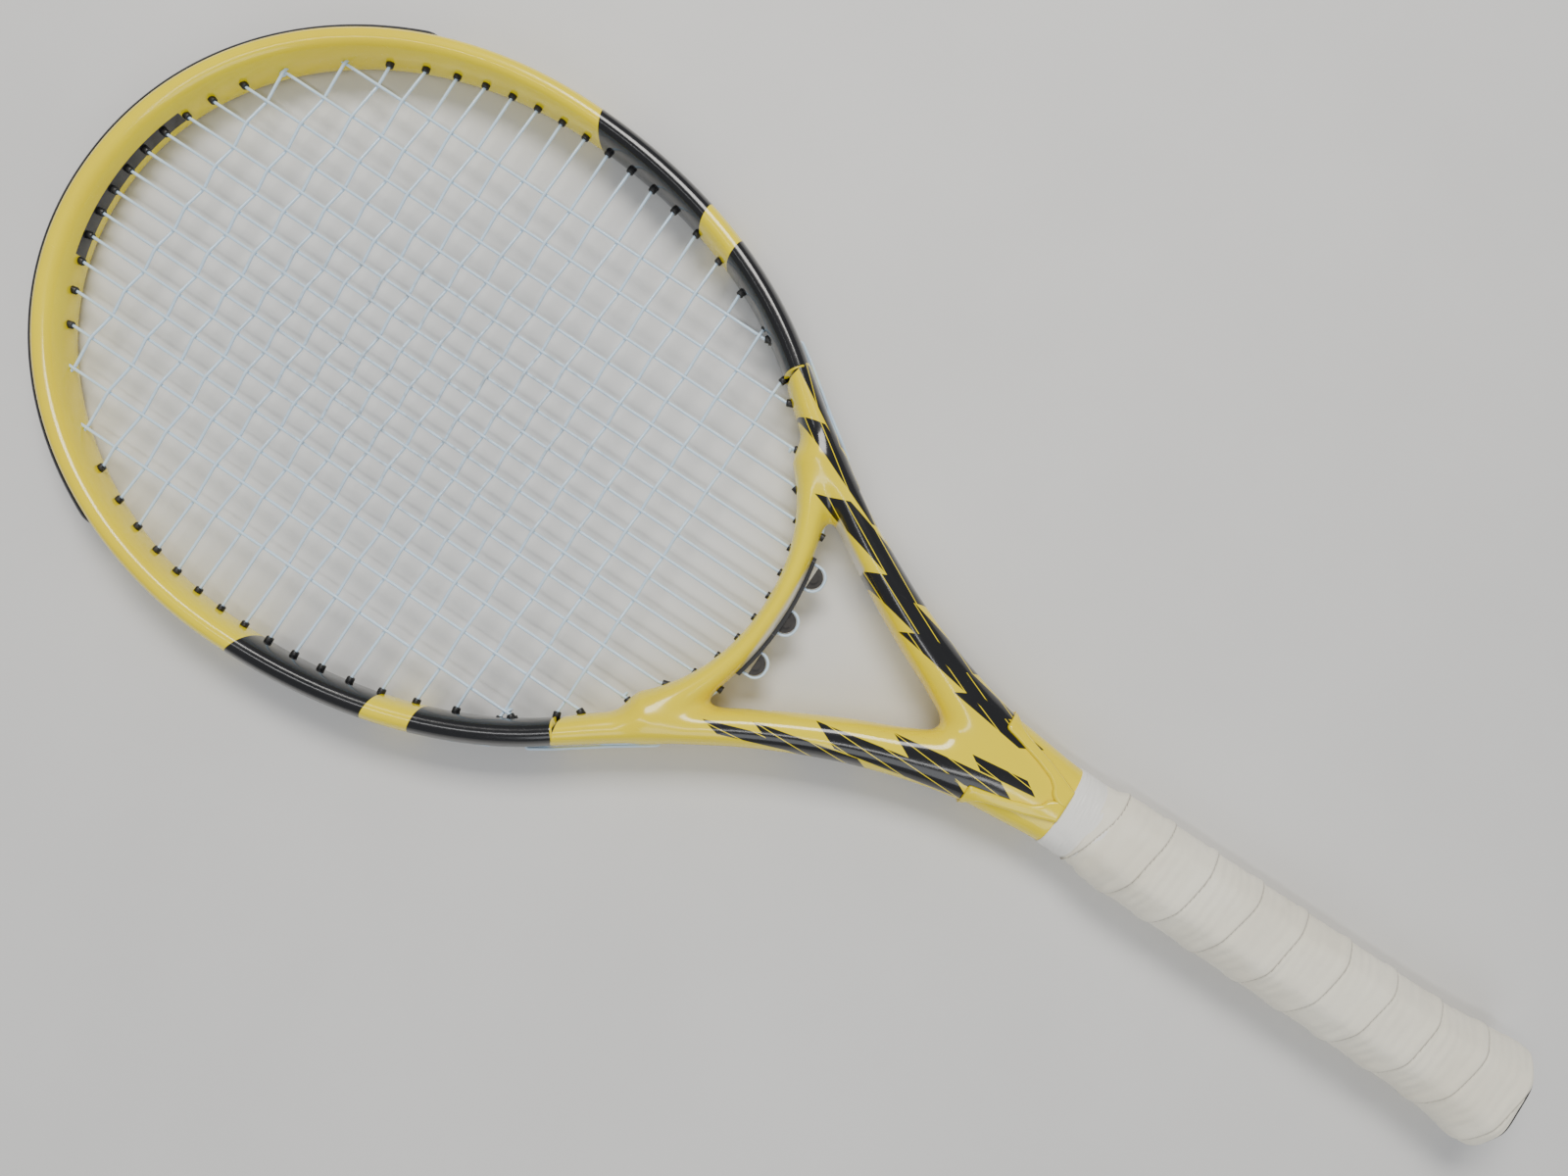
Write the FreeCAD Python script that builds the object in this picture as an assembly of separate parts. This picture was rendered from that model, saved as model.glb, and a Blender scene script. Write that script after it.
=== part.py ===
"""Strung tennis racket: hairpin frame, throat bridge, grommets, woven string bed, gripped handle.

Millimetres. +X runs from the butt end (x = 0) to the head tip, the string plane is z = 0,
and the racket is mirrored about y = 0 apart from its strings.
"""
import FreeCAD
import Part
import math
import os

V = FreeCAD.Vector

# ---------------------------------------------------------------- driving dimensions
overall_length = 685.0
head_width = 270.0             # outside of the frame, across the head
head_centre_from_tip = 160.0   # widest point of the head, measured back from the tip
head_squareness = 2.05         # power of the rounded head outline, 2 is an ellipse
throat_reach = 180.2           # head centre back to the middle of the throat bridge

tube_half_width = 5.8          # frame tube, measured in the string plane
beam_half_tip = 11.5           # frame tube, half height at the tip
beam_half_side = 13.0          # at the sides and shoulders
beam_half_shaft = 11.5         # above the grip
bridge_half_width = 4.85
bridge_half_height = 10.5
tube_wall = 1.7
section_power = 2.4            # how square the frame tube is, 2 is an ellipse

groove_half = 3.2              # channel round the outside of the frame
groove_depth = 2.0
strip_thickness = 0.8
strip_clearance = 0.1
bumper_thickness = 2.0
bumper_half_height = 8.0
bumper_half_angle = 57.0       # degrees either side of the tip
barrel_radius = 1.6
barrel_clearance = 0.05
barrel_reach = 1.5             # bare string between a barrel's end and the string's bend

string_diameter = 1.3
string_gap = 0.05
mains_per_side = 8
main_pitch = 10.5
outer_main_inset = 36.4        # outermost main to the middle of the frame's side
crosses_per_side = 9           # either side of the middle cross
cross_pitch = 11.8
middle_cross_offset = 4.6      # middle cross, from the head centre towards the handle
first_cross_gap = 50.0         # bridge middle to the first cross
last_cross_gap = 36.1          # last cross to the frame's middle at the tip

handle_length = 182.0          # pallets
handle_tube_half_width = 12.5
handle_tube_half_height = 10.0
pallet_half_width = 17.6
pallet_half_height = 15.2
base_grip_thickness = 1.6
overgrip_thickness = 0.7
overgrip_end = 194.0
tape_start = 186.0
tape_end = 206.0
tape_thickness = 0.35
cap_lip_half_width = 22.0
cap_lip_half_height = 16.8
cap_lip_length = 4.5
cap_skirt_end = 30.0
cap_end_wall = 3.0
door_half_width = 8.0
door_half_height = 5.5
door_clearance = 0.3
door_thickness = 2.2
door_leg_length = 0.5

fork_cover_thickness = 0.8
saddle_thickness = 2.4

# ---------------------------------------------------------------- derived sizes
head_centre = overall_length - head_centre_from_tip
head_half = head_width / 2 - tube_half_width
tip_reach = overall_length - bumper_thickness - tube_half_width - head_centre
string_radius = string_diameter / 2
bore_radius = string_radius + 0.1
lane = string_diameter + string_gap
strip_floor = -groove_depth + strip_clearance
run_offset = -groove_depth + strip_thickness + string_radius + string_gap + 0.25
block_end = 206.0              # where the frame leaves the grip
fork_x = 258.0                 # bottom of the open throat


# ---------------------------------------------------------------- outline of the frame
def head_point(angle):
    """Point of the head's middle line; angle 0 is the tip, 180 degrees the bridge."""
    c = math.cos(angle)
    s = math.sin(angle)
    reach = tip_reach if c >= 0 else throat_reach
    x = head_centre + math.copysign(abs(c) ** (2 / head_squareness), c) * reach
    y = math.copysign(abs(s) ** (2 / head_squareness), s) * head_half
    return x, y


def head_y(x):
    """Half width of the head's middle line at x."""
    reach = tip_reach if x >= head_centre else throat_reach
    share = min(1.0, abs(x - head_centre) / reach)
    return head_half * (1 - share ** head_squareness) ** (1 / head_squareness)


def head_normal(x, y):
    """Outward direction of the head's middle line, nearest to a point beside it."""
    power = head_squareness
    reach = tip_reach if x >= head_centre else throat_reach
    gx = abs((x - head_centre) / reach) ** (power - 1) / reach
    gy = abs(y / head_half) ** (power - 1) / head_half
    length = math.hypot(gx, gy)
    return math.copysign(gx / length, x - head_centre), math.copysign(gy / length, y)


def beam_half(x):
    """Half height of the frame tube along the racket."""
    if x <= block_end:
        return beam_half_shaft
    rise = min(1.0, (x - block_end) / (head_centre - 130 - block_end))
    fall = max(0.0, (x - head_centre) / tip_reach)
    low = beam_half_shaft + (beam_half_side - beam_half_shaft) * math.sin(rise * math.pi / 2)
    return low + (beam_half_tip - beam_half_side) * fall ** 2


def handle_stations():
    """One side inside the grip: x, y, half width, half height."""
    return [
        (cap_end_wall + 1.0, 0.0, handle_tube_half_width, handle_tube_half_height),
        (handle_length - 8, 0.0, handle_tube_half_width, handle_tube_half_height),
        (handle_length + 6, 0.0, 16.6, beam_half_shaft),
    ]


def shaft_stations():
    """Middle line of one side from the grip to the shoulder."""
    join_x = head_centre - 133
    join_y = head_y(join_x)
    run = join_x - fork_x
    rise = join_y - 12.5
    rows = [
        (tape_end, 0.0, 16.9, beam_half_shaft),
        (fork_x - 36, 0.4, 17.9, beam_half(fork_x - 36)),
        (fork_x - 18, 4.0, 16.6, beam_half(fork_x - 18)),
        (fork_x - 6, 9.6, 13.6, beam_half(fork_x - 6)),
    ]
    shares = [(0.0, 0.0, 11.9), (0.09, 0.065, 10.2), (0.24, 0.17, 9.1), (0.39, 0.295, 8.3),
              (0.54, 0.437, 7.8), (0.66, 0.568, 7.4), (0.77, 0.695, 7.0), (0.89, 0.85, 6.4)]
    for along, up, half_width in shares:
        x = fork_x + along * run
        rows.append((x, 12.5 + up * rise, half_width, beam_half(x)))
    return rows


def hoop_stations():
    """Middle line of one side of the head from the shoulder to the tip."""
    rows = []
    join_x = head_centre - 133
    share = 133 / throat_reach
    start = math.pi - math.acos(share ** (head_squareness / 2))
    count = 18
    for i in range(count + 1):
        angle = start * (1 - i / count)
        x, y = head_point(angle)
        rows.append((x, y if i < count else 0.0, tube_half_width, beam_half(x)))
    rows[0] = (join_x, rows[0][1], tube_half_width + 0.1, rows[0][3])
    return rows


def gentle_slope(before, after, low, high):
    """Slope at a station that never overshoots its neighbours."""
    if before * after <= 0:
        return 0.0
    return 3 * (low + high) / ((2 * high + low) / before + (high + 2 * low) / after)


def even_stations(step=14.0):
    """Stations from the butt to the tip at even spacing, on a smooth curve through the chosen ones."""
    rows = handle_stations() + shaft_stations() + hoop_stations()
    place = [0.0]
    for a, b in zip(rows, rows[1:]):
        place.append(place[-1] + math.hypot(b[0] - a[0], b[1] - a[1]))
    slopes = [[1.0, 0.0, 0.0, 0.0]]
    for i in range(1, len(rows) - 1):
        low = place[i] - place[i - 1]
        high = place[i + 1] - place[i]
        slope = [(rows[i + 1][j] - rows[i - 1][j]) / (low + high) for j in range(2)]
        for j in (2, 3):
            before = (rows[i][j] - rows[i - 1][j]) / low
            after = (rows[i + 1][j] - rows[i][j]) / high
            slope.append(gentle_slope(before, after, low, high))
        slopes.append(slope)
    slopes.append([0.0, -1.0, 0.0, 0.0])
    count = round(place[-1] / step)
    result = []
    i = 0
    for n in range(count + 1):
        s = place[-1] * n / count
        while i < len(rows) - 2 and s > place[i + 1]:
            i += 1
        span = place[i + 1] - place[i]
        t = (s - place[i]) / span
        row = []
        slope = []
        for j in range(4):
            p, q = rows[i][j], rows[i + 1][j]
            a, b = slopes[i][j] * span, slopes[i + 1][j] * span
            row.append(p + t * (a + t * (3 * (q - p) - 2 * a - b + t * (a + b - 2 * (q - p)))))
            slope.append(a + t * (2 * (3 * (q - p) - 2 * a - b) + t * 3 * (a + b - 2 * (q - p))))
        length = math.hypot(slope[0], slope[1])
        result.append((tuple(row), (slope[0] / length, slope[1] / length)))
    return result


def section(x, y, direction, inner, outer, half_height, power):
    """Closed rounded section across the path; inner and outer are its reaches from the middle."""
    nx = -direction[1]
    ny = direction[0]
    half = (inner + outer) / 2
    shift = (outer - inner) / 2
    points = []
    count = 14
    for i in range(count):
        angle = 2 * math.pi * i / count
        c = math.cos(angle)
        s = math.sin(angle)
        across = shift + half * math.copysign(abs(c) ** (2 / power), c)
        up = half_height * math.copysign(abs(s) ** (2 / power), s)
        points.append(V(x + nx * across, y + ny * across, up))
    curve = Part.BSplineCurve()
    shares = [i / count for i in range(count + 1)]
    curve.interpolate(Points=points, PeriodicFlag=True, Parameters=shares)
    return Part.Wire([curve.toShape()])


def tube_half(grow):
    """One side of the frame, solid, made larger all round by grow."""
    wires = []
    for (x, y, half, height), direction in even_stations():
        wires.append(section(x, y, direction, half + grow, half + grow, height + grow, section_power))
    reach = overall_length * 2
    keep = Part.makeBox(reach, reach, 200, V(-100, 0, -100))
    return Part.makeLoft(wires, True, False).common(keep).Solids[0]


def tube_hollow_half():
    """The hollow of one side: its outer wall is thicker, to carry the groove."""
    outer_wall = groove_depth + tube_wall - 0.1
    wires = []
    for (x, y, half, height), direction in even_stations():
        inner = half - tube_wall
        if x < head_centre and y - half < 0:
            inner = y - tube_wall
        wires.append(section(x, y, direction, inner, half - outer_wall, height - tube_wall, section_power))
    return Part.makeLoft(wires, True, False)


def edge_line():
    """Outer edge of the frame in the string plane, as a dense list of points and normals."""
    edge = []
    for (x, y, half, height), (dx, dy) in even_stations():
        if x > fork_x - 4:
            edge.append(V(x - dy * half, y + dx * half, 0))
    curve = Part.BSplineCurve()
    curve.interpolate(edge)
    line = []
    count = 400
    for i in range(count + 1):
        u = curve.FirstParameter + (curve.LastParameter - curve.FirstParameter) * i / count
        p = curve.value(u)
        t = curve.tangent(u)[0]
        line.append((p, V(-t.y, t.x, 0)))
    line[-1] = (V(line[-1][0].x, 0, 0), V(1, 0, 0))
    return line


EDGE = edge_line()


def edge_crossing(point, direction):
    """Index of the outer edge point that a ray from point meets."""
    best = None
    for i, (p, n) in enumerate(EDGE):
        away = p - point
        along = away.dot(direction)
        if along <= 0:
            continue
        miss = (away - direction * along).Length
        if best is None or miss < best[0]:
            best = (miss, i)
    return best[1]


def edge_index(x):
    """Index of the outer edge point nearest to a given x."""
    return min(range(len(EDGE)), key=lambda i: abs(EDGE[i][0].x - x))


def offset_curve(first, last, offset, side):
    """Smooth curve at an offset from the outer edge, between two indices of it."""
    count = max(4, (last - first) // 10)
    points = []
    for i in range(count + 1):
        p, n = EDGE[round(first + (last - first) * i / count)]
        q = p + n * offset
        points.append(V(q.x, q.y * side, 0))
    curve = Part.BSplineCurve()
    curve.interpolate(points)
    return curve.toShape()


def band(first, last, low, high, half_height, side=1, base=None):
    """Slab between two offsets of the outer edge; base is its underside, if it isn't -half_height."""
    start = -half_height if base is None else base
    inner = offset_curve(first, last, low, side)
    outer = offset_curve(first, last, high, side)
    ends = []
    for i in (0, -1):
        ends.append(Part.makeLine(inner.Vertexes[i].Point, outer.Vertexes[i].Point))
    wire = Part.Wire(Part.__sortEdges__([inner, outer] + ends))
    face = Part.Face(wire)
    face.translate(V(0, 0, start))
    return face.extrude(V(0, 0, half_height - start))


def mirrored(shape):
    """Copy on the other side of the racket."""
    return shape.mirror(V(0, 0, 0), V(0, 1, 0))


def rod(start, end, radius):
    """Round rod between two points."""
    away = end - start
    return Part.makeCylinder(radius, away.Length, start, away)


# ---------------------------------------------------------------- string pattern
def main_y(k):
    """Distance of main k from the middle, k from 0."""
    place = k + 0.5
    last = mains_per_side - 0.5
    growth = head_half - outer_main_inset - main_pitch * last
    return main_pitch * place + growth * (place / last) ** 4.5


def cross_x(k):
    """Place of cross k, negative towards the handle."""
    middle = head_centre - middle_cross_offset
    last = crosses_per_side
    if k < 0:
        reach = middle - (head_centre - throat_reach + first_cross_gap)
        return middle - (cross_pitch * -k + (reach - cross_pitch * last) * (-k / last) ** 3.4)
    reach = head_centre + tip_reach - last_cross_gap - middle
    return middle + cross_pitch * k + (reach - cross_pitch * last) * (k / last) ** 6


def crossing_clear(value, others, outward):
    """Move a bend outward, if a string that crosses there is too near for both to pass."""
    room = 2 * string_diameter + 0.2
    for other in others:
        if abs(value - other) < room:
            return other + outward * room
    return value


def grommet(place, kind):
    """Bend point and outward direction of a hoop grommet; kind is 'cross', 'tip' or 'throat'.

    The bend lies on the string's own line inside the hoop. From there the hole runs halfway
    between the string's line and the square way out through the frame.
    """
    inset = tube_half_width + 2.0
    if kind == "cross":
        step = V(0, 1, 0)
        point = V(place, head_y(place), 0)
    else:
        sign = 1 if kind == "tip" else -1
        reach = tip_reach if kind == "tip" else throat_reach
        share = (1 - (place / head_half) ** head_squareness) ** (1 / head_squareness)
        step = V(sign, 0, 0)
        point = V(head_centre + sign * reach * share, place, 0)
    normal = V(*head_normal(point.x, point.y), 0)
    bend = point - step * (inset / max(0.35, normal.dot(step)))
    if kind == "cross":
        bend.y = crossing_clear(bend.y, [main_y(k) for k in range(mains_per_side)], 1)
    else:
        crosses = [cross_x(k) for k in range(-crosses_per_side, crosses_per_side + 1)]
        bend.x = crossing_clear(bend.x, crosses, step.x)
    normal = V(*head_normal(bend.x, bend.y), 0)
    return bend, (normal + step).normalize(), step


class Grommet:
    """One string hole: the string's bend point, its direction, and its exit in the groove."""

    def __init__(self, place, kind, tie_off=False):
        self.bend, self.out, self.along = grommet(place, kind)
        self.tie_off = tie_off
        self.index = edge_crossing(self.bend, self.out)
        self.edge = EDGE[self.index][0]
        self.length = (self.edge - self.bend).dot(self.out)

    def at(self, depth, side, z=0.0):
        """Point on the hole's axis, depth outside the frame's outer edge."""
        p = self.bend + self.out * (self.length + depth)
        return V(p.x, p.y * side, z)

    def centre_z(self):
        return -lane / 2 if self.tie_off else 0.0

    def bore(self):
        return bore_radius + lane / 2 if self.tie_off else bore_radius

    def rim(self):
        return self.bore() + barrel_radius - bore_radius

    def hole(self):
        """Cutters for the frame: the hole, and a slot where the string slants in through the wall."""
        start = self.at(-self.length - 0.5, 1, self.centre_z())
        end = self.at(4, 1, self.centre_z())
        entry = self.at(-self.length, 1, self.centre_z())
        slot = rod(entry - self.along * 6, entry + self.along * 0.5, self.bore() + 0.3)
        return [rod(start, end, self.rim() + barrel_clearance), slot]

    def barrel(self):
        start = self.at(-self.length + barrel_reach, 1, self.centre_z())
        end = self.at(-groove_depth + strip_thickness / 2, 1, self.centre_z())
        return rod(start, end, self.rim())

    def passage(self):
        """Cutter for the barrel and strip, with a flared mouth where the string turns."""
        start = self.at(-self.length + barrel_reach - 1, 1, self.centre_z())
        end = self.at(4, 1, self.centre_z())
        mouth = self.at(-groove_depth + strip_thickness, 1, self.centre_z())
        depth = 1.2
        flare = Part.makeCone(self.bore(), self.bore() + 1.6, depth + 0.4, mouth - self.out * depth, self.out)
        return [rod(start, end, self.bore()), flare]


def build_grommets():
    """All hoop grommets of one side, in order from the throat to the tip."""
    made = {}
    for k in range(5, mains_per_side):
        made["throat", k] = Grommet(main_y(k), "throat", tie_off=k in (5, 7))
    for k in range(-crosses_per_side, crosses_per_side + 1):
        made["cross", k] = Grommet(cross_x(k), "cross")
    for k in range(mains_per_side):
        made["tip", k] = Grommet(main_y(k), "tip", tie_off=k == 6)
    return made


GROMMETS = build_grommets()


# ---------------------------------------------------------------- throat bridge
def strip_start():
    """Index of the outer edge where the grommet strips begin, at the shoulders."""
    return GROMMETS["throat", 5].index - 12


def bridge_point(y):
    """Middle of the bridge at y."""
    share = (1 - abs(y / head_half) ** head_squareness) ** (1 / head_squareness)
    return head_centre - throat_reach * share


def bridge_edge(y):
    """The bridge's handle side at y."""
    nx, ny = head_normal(bridge_point(y), max(abs(y), 0.01))
    return bridge_point(y) - bridge_width_at(y) / abs(nx)


def bridge_width_at(y):
    """Half width of the bridge: it widens into the shoulders."""
    return bridge_half_width + 1.6 * (abs(y) / 45) ** 3


def bridge_solid():
    wires = []
    steps = 8
    end = 60.0
    for i in range(-steps, steps + 1):
        y = end * i / steps
        x = bridge_point(y)
        nx, ny = head_normal(x, y if abs(y) > 0.01 else 0.01)
        direction = (-ny, nx) if nx > 0 else (ny, -nx)
        half = bridge_width_at(y)
        height = bridge_half_height + (beam_half_side - bridge_half_height) * (abs(y) / end) ** 2
        wires.append(section(x, y, direction, half, half, height, 2.2))
    return Part.makeLoft(wires, True, False)


def throat_hole(k):
    """Bend point, handle-side exit of a bridge main's hole."""
    y = main_y(k)
    bend = V(bridge_point(y) + bridge_width_at(y) + 2.6, y, 0)
    if k == 4:
        exit_y = main_y(3) + 5.2
        bend = V(bridge_point(y) + bridge_width_at(y) + 3.4, y, 0)
        return bend, V(bridge_edge(exit_y) + 0.2, exit_y, 0)
    return bend, V(bridge_edge(y) - 1.2, y, 0)


# ---------------------------------------------------------------- frame pieces
def make_frame():
    """The hairpin tube, drilled and grooved, and its two undrilled halves for fitting other pieces."""
    outer = tube_half(0.0)
    last = len(EDGE) - 1
    groove = band(strip_start() - 2, last, -groove_depth, 6.0, groove_half)
    side = outer.cut(tube_hollow_half()).cut(groove)
    holes = []
    for g in GROMMETS.values():
        holes += g.hole()
    bend, leave = throat_hole(4)
    away = (leave - bend).normalize()
    holes.append(rod(bend, leave + away * 6, barrel_radius + barrel_clearance))
    side = side.cut(holes)
    frame = side.fuse(mirrored(side))
    whole = outer.fuse(mirrored(outer))
    return frame, whole, outer


def make_bridge(whole):
    """The throat bridge, shaped to the tubes it is bonded to and drilled for eight strings."""
    bridge = bridge_solid().cut(whole)
    bridge = max(bridge.Solids, key=lambda s: s.Volume)
    holes = []
    for k in range(5):
        bend, leave = throat_hole(k)
        away = (leave - bend).normalize()
        hole = rod(bend, leave + away * 3, barrel_radius + barrel_clearance)
        holes += [hole, mirrored(hole)]
    return bridge.cut(holes)


def make_side_strip(side):
    """Grommet strip of one side, from the shoulder to the bumper."""
    first = strip_start()
    last = bumper_start() - 1
    strip = band(first, last, strip_floor, strip_floor + strip_thickness, groove_half - strip_clearance)
    used = [g for g in GROMMETS.values() if g.index < last - 4]
    strip = strip.fuse([g.barrel() for g in used])
    for g in used:
        strip = strip.cut(g.passage())
    return strip if side > 0 else mirrored(strip)


def bumper_start():
    """Index of the outer edge where the bumper guard begins."""
    angle = math.radians(bumper_half_angle)
    gap = []
    for i, (p, n) in enumerate(EDGE):
        gap.append(abs(math.atan2(p.y, p.x - head_centre + 10) - angle))
    return gap.index(min(gap))


def make_bumper(tube):
    """Bumper guard round the tip: a pad over the tube and a tongue in its groove, with a channel for the strings."""
    first = bumper_start()
    last = len(EDGE) - 1
    guard = band(first, last, -tube_half_width, bumper_thickness, bumper_half_height)
    guard = guard.cut(tube)
    tongue = band(first, last, strip_floor, 0.5, groove_half - strip_clearance)
    guard = guard.fuse(tongue)
    guard = guard.cut(band(first - 3, last, strip_floor + strip_thickness, bumper_thickness + 3, lane + string_radius + 0.3))
    used = [g for g in GROMMETS.values() if g.index >= first + 3]
    guard = guard.fuse([g.barrel() for g in used])
    for g in used:
        guard = guard.cut(g.passage())
    return guard.fuse(mirrored(guard))


def make_bridge_strip():
    """Strip along the bridge's handle side with six grommets."""
    end = main_y(2) + 2.0
    thickness = 1.5
    steps = 6
    near = []
    far = []
    for i in range(-steps, steps + 1):
        y = end * i / steps
        near.append(V(bridge_edge(y) - thickness, y, 0))
        far.append(V(bridge_edge(y) + 0.6, y, 0))
    curves = []
    for points in (near, far):
        curve = Part.BSplineCurve()
        curve.interpolate(points)
        curves.append(curve.toShape())
    ends = [Part.makeLine(near[i], far[i]) for i in (0, -1)]
    face = Part.Face(Part.Wire(Part.__sortEdges__(curves + ends)))
    height = 3.0
    face.translate(V(0, 0, -height))
    strip = face.extrude(V(0, 0, 2 * height)).cut(bridge_solid())
    strip = max(strip.Solids, key=lambda s: s.Volume)
    barrels = []
    bores = []
    for k in range(3):
        bend, leave = throat_hole(k)
        for side in (1, -1):
            a = V(bend.x - barrel_reach, bend.y * side, 0)
            b = V(leave.x + 0.6, leave.y * side, 0)
            barrels.append(rod(a, b, barrel_radius))
            bores.append(rod(V(a.x + 1, a.y, 0), V(b.x - 3, b.y, 0), bore_radius))
    return strip.fuse(barrels).cut(bores)


def make_corner_grommets():
    """Two single grommets in each corner of the throat, where the bridge meets the shoulder."""
    made = []
    for k in (3, 4):
        bend, leave = throat_hole(k)
        away = (leave - bend).normalize()
        a = bend + away * barrel_reach
        b = leave - away * (0.4 if k == 4 else -0.3)
        piece = rod(a, b, barrel_radius).cut(rod(a - away, b + away, bore_radius))
        made += [piece, mirrored(piece)]
    return Part.makeCompound(made)


def saddle_places():
    """Centre and loop radius of each saddle on the bridge."""
    rows = []
    thickness = 1.5
    x = bridge_edge(main_y(0)) - thickness - 0.1
    rows.append((x, 0.0, main_y(0)))
    middle = (main_y(1) + main_y(2)) / 2
    x = bridge_edge(main_y(1)) - thickness - 0.2
    for side in (1, -1):
        rows.append((x, middle * side, (main_y(2) - main_y(1)) / 2))
    return rows


def make_saddles():
    """Half discs that carry the string loops on the bridge, each with a raised boss."""
    made = []
    for x, y, loop in saddle_places():
        radius = loop - string_radius - string_gap
        disc = Part.makeCylinder(radius, saddle_thickness, V(x, y, -saddle_thickness / 2))
        boss = Part.makeCylinder(2.1, saddle_thickness + 1.8, V(x - 0.6, y, -saddle_thickness / 2 - 0.9))
        keep = Part.makeBox(20, 20, 20, V(x - 20, y - 10, -10))
        made.append(disc.fuse(boss).common(keep))
    return Part.makeCompound(made)


# ---------------------------------------------------------------- strings
def rounded_route(points, radii):
    """Wire of straight runs joined by tangent arcs."""
    edges = []
    start = points[0]
    for i in range(1, len(points) - 1):
        a, p, b = points[i - 1], points[i], points[i + 1]
        u = (a - p)
        v = (b - p)
        room = 0.45 * min(u.Length, v.Length)
        u.normalize()
        v.normalize()
        half_turn = (math.pi - u.getAngle(v)) / 2
        if half_turn < 0.004:
            continue
        radius = min(radii[i], room / math.tan(half_turn))
        t = radius * math.tan(half_turn)
        first = p + u * t
        last = p + v * t
        middle = (u + v).normalize()
        top = p + middle * (radius / math.cos(half_turn) - radius)
        edges.append(Part.makeLine(start, first))
        edges.append(Part.Arc(first, top, last).toShape())
        start = last
    edges.append(Part.makeLine(start, points[-1]))
    return Part.Wire(edges)


def string_solid(points, radii):
    """Round string along a route."""
    wire = rounded_route(points, radii)
    away = (points[1] - points[0]).normalize()
    profile = Part.Wire(Part.Circle(points[0], away, string_radius).toShape())
    return wire.makePipeShell([profile], True, False)


def outside_run(a, b, side, z):
    """Points of an outside run in the groove between two grommets, in the given lane."""
    step = 1 if b.index > a.index else -1
    points = [a.at(run_offset, side)]
    span = abs(b.index - a.index)
    inner = [0.3, 0.7] if span < 30 else [0.15, 0.38, 0.62, 0.85]
    for share in inner:
        p, n = EDGE[a.index + step * round(span * share)]
        q = p + n * run_offset
        points.append(V(q.x, q.y * side, z))
    points.append(b.at(run_offset, side))
    return points


def main_side_route():
    """Half of the main string, from the racket's middle at the bridge out to its knot."""
    corner = 1.3
    points = []

    def add(point, radius):
        points.append((point, radius))

    def bridge_leg(k, outward):
        bend, leave = throat_hole(k)
        pair = [(bend, 3.0), (leave, corner)]
        for p, r in (pair if outward else pair[::-1]):
            add(p, r)

    def tip_turn(k):
        a = GROMMETS["tip", k]
        b = GROMMETS["tip", k + 1]
        add(a.bend, 3.0)
        for p in outside_run(a, b, 1, lane):
            add(p, corner)
        add(b.bend, 3.0)

    def saddle_loop(x, loop, low, high):
        add(V(x - loop, low, 0), loop)
        add(V(x - loop, high, 0), loop)

    places = saddle_places()
    add(V(places[0][0] - places[0][2], 0, 0), 0)
    add(V(places[0][0] - places[0][2], main_y(0), 0), places[0][2])
    add(throat_hole(0)[0], 3.0)
    tip_turn(0)
    add(throat_hole(1)[0], 3.0)
    saddle_loop(places[1][0], places[1][2], main_y(1), main_y(2))
    add(throat_hole(2)[0], 3.0)
    tip_turn(2)
    bend, leave = throat_hole(3)
    add(bend, 3.0)
    add(leave + V(0.9, 0, 0), corner)
    bend, leave = throat_hole(4)
    add(leave, corner)
    add(bend, 3.0)
    tip_turn(4)
    six = GROMMETS["throat", 5]
    seven = GROMMETS["throat", 6]
    eight = GROMMETS["throat", 7]
    add(six.bend, 3.0)
    for p in outside_run(six, seven, 1, lane):
        add(p, corner)
    add(seven.bend, 3.0)
    tip_turn(6)
    add(eight.bend, 3.0)
    top = run_offset + lane
    add(eight.at(top, 1), corner)
    span = eight.index - six.index
    for share in (0.2, 0.4, 0.6, 0.8):
        p, n = EDGE[eight.index - round(span * share)]
        add(p + n * top, 6.0)
    add(six.at(top, 1, -lane), corner)
    add(V(six.bend.x, six.bend.y, -lane) - six.out * 1.0, 0)
    return points


def main_string():
    """One string makes all sixteen mains."""
    side = main_side_route()
    other = [(V(p.x, -p.y, p.z), r) for p, r in side[1:]]
    route = other[::-1] + side[1:]
    return string_solid([p for p, r in route], [r for p, r in route])


def weave_height(spacing, radius):
    """Corner height of the woven route, so that its arcs clear the mains."""
    peak = lane
    slope = 2 * peak / spacing
    return peak + radius * slope ** 2 / 2


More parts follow.
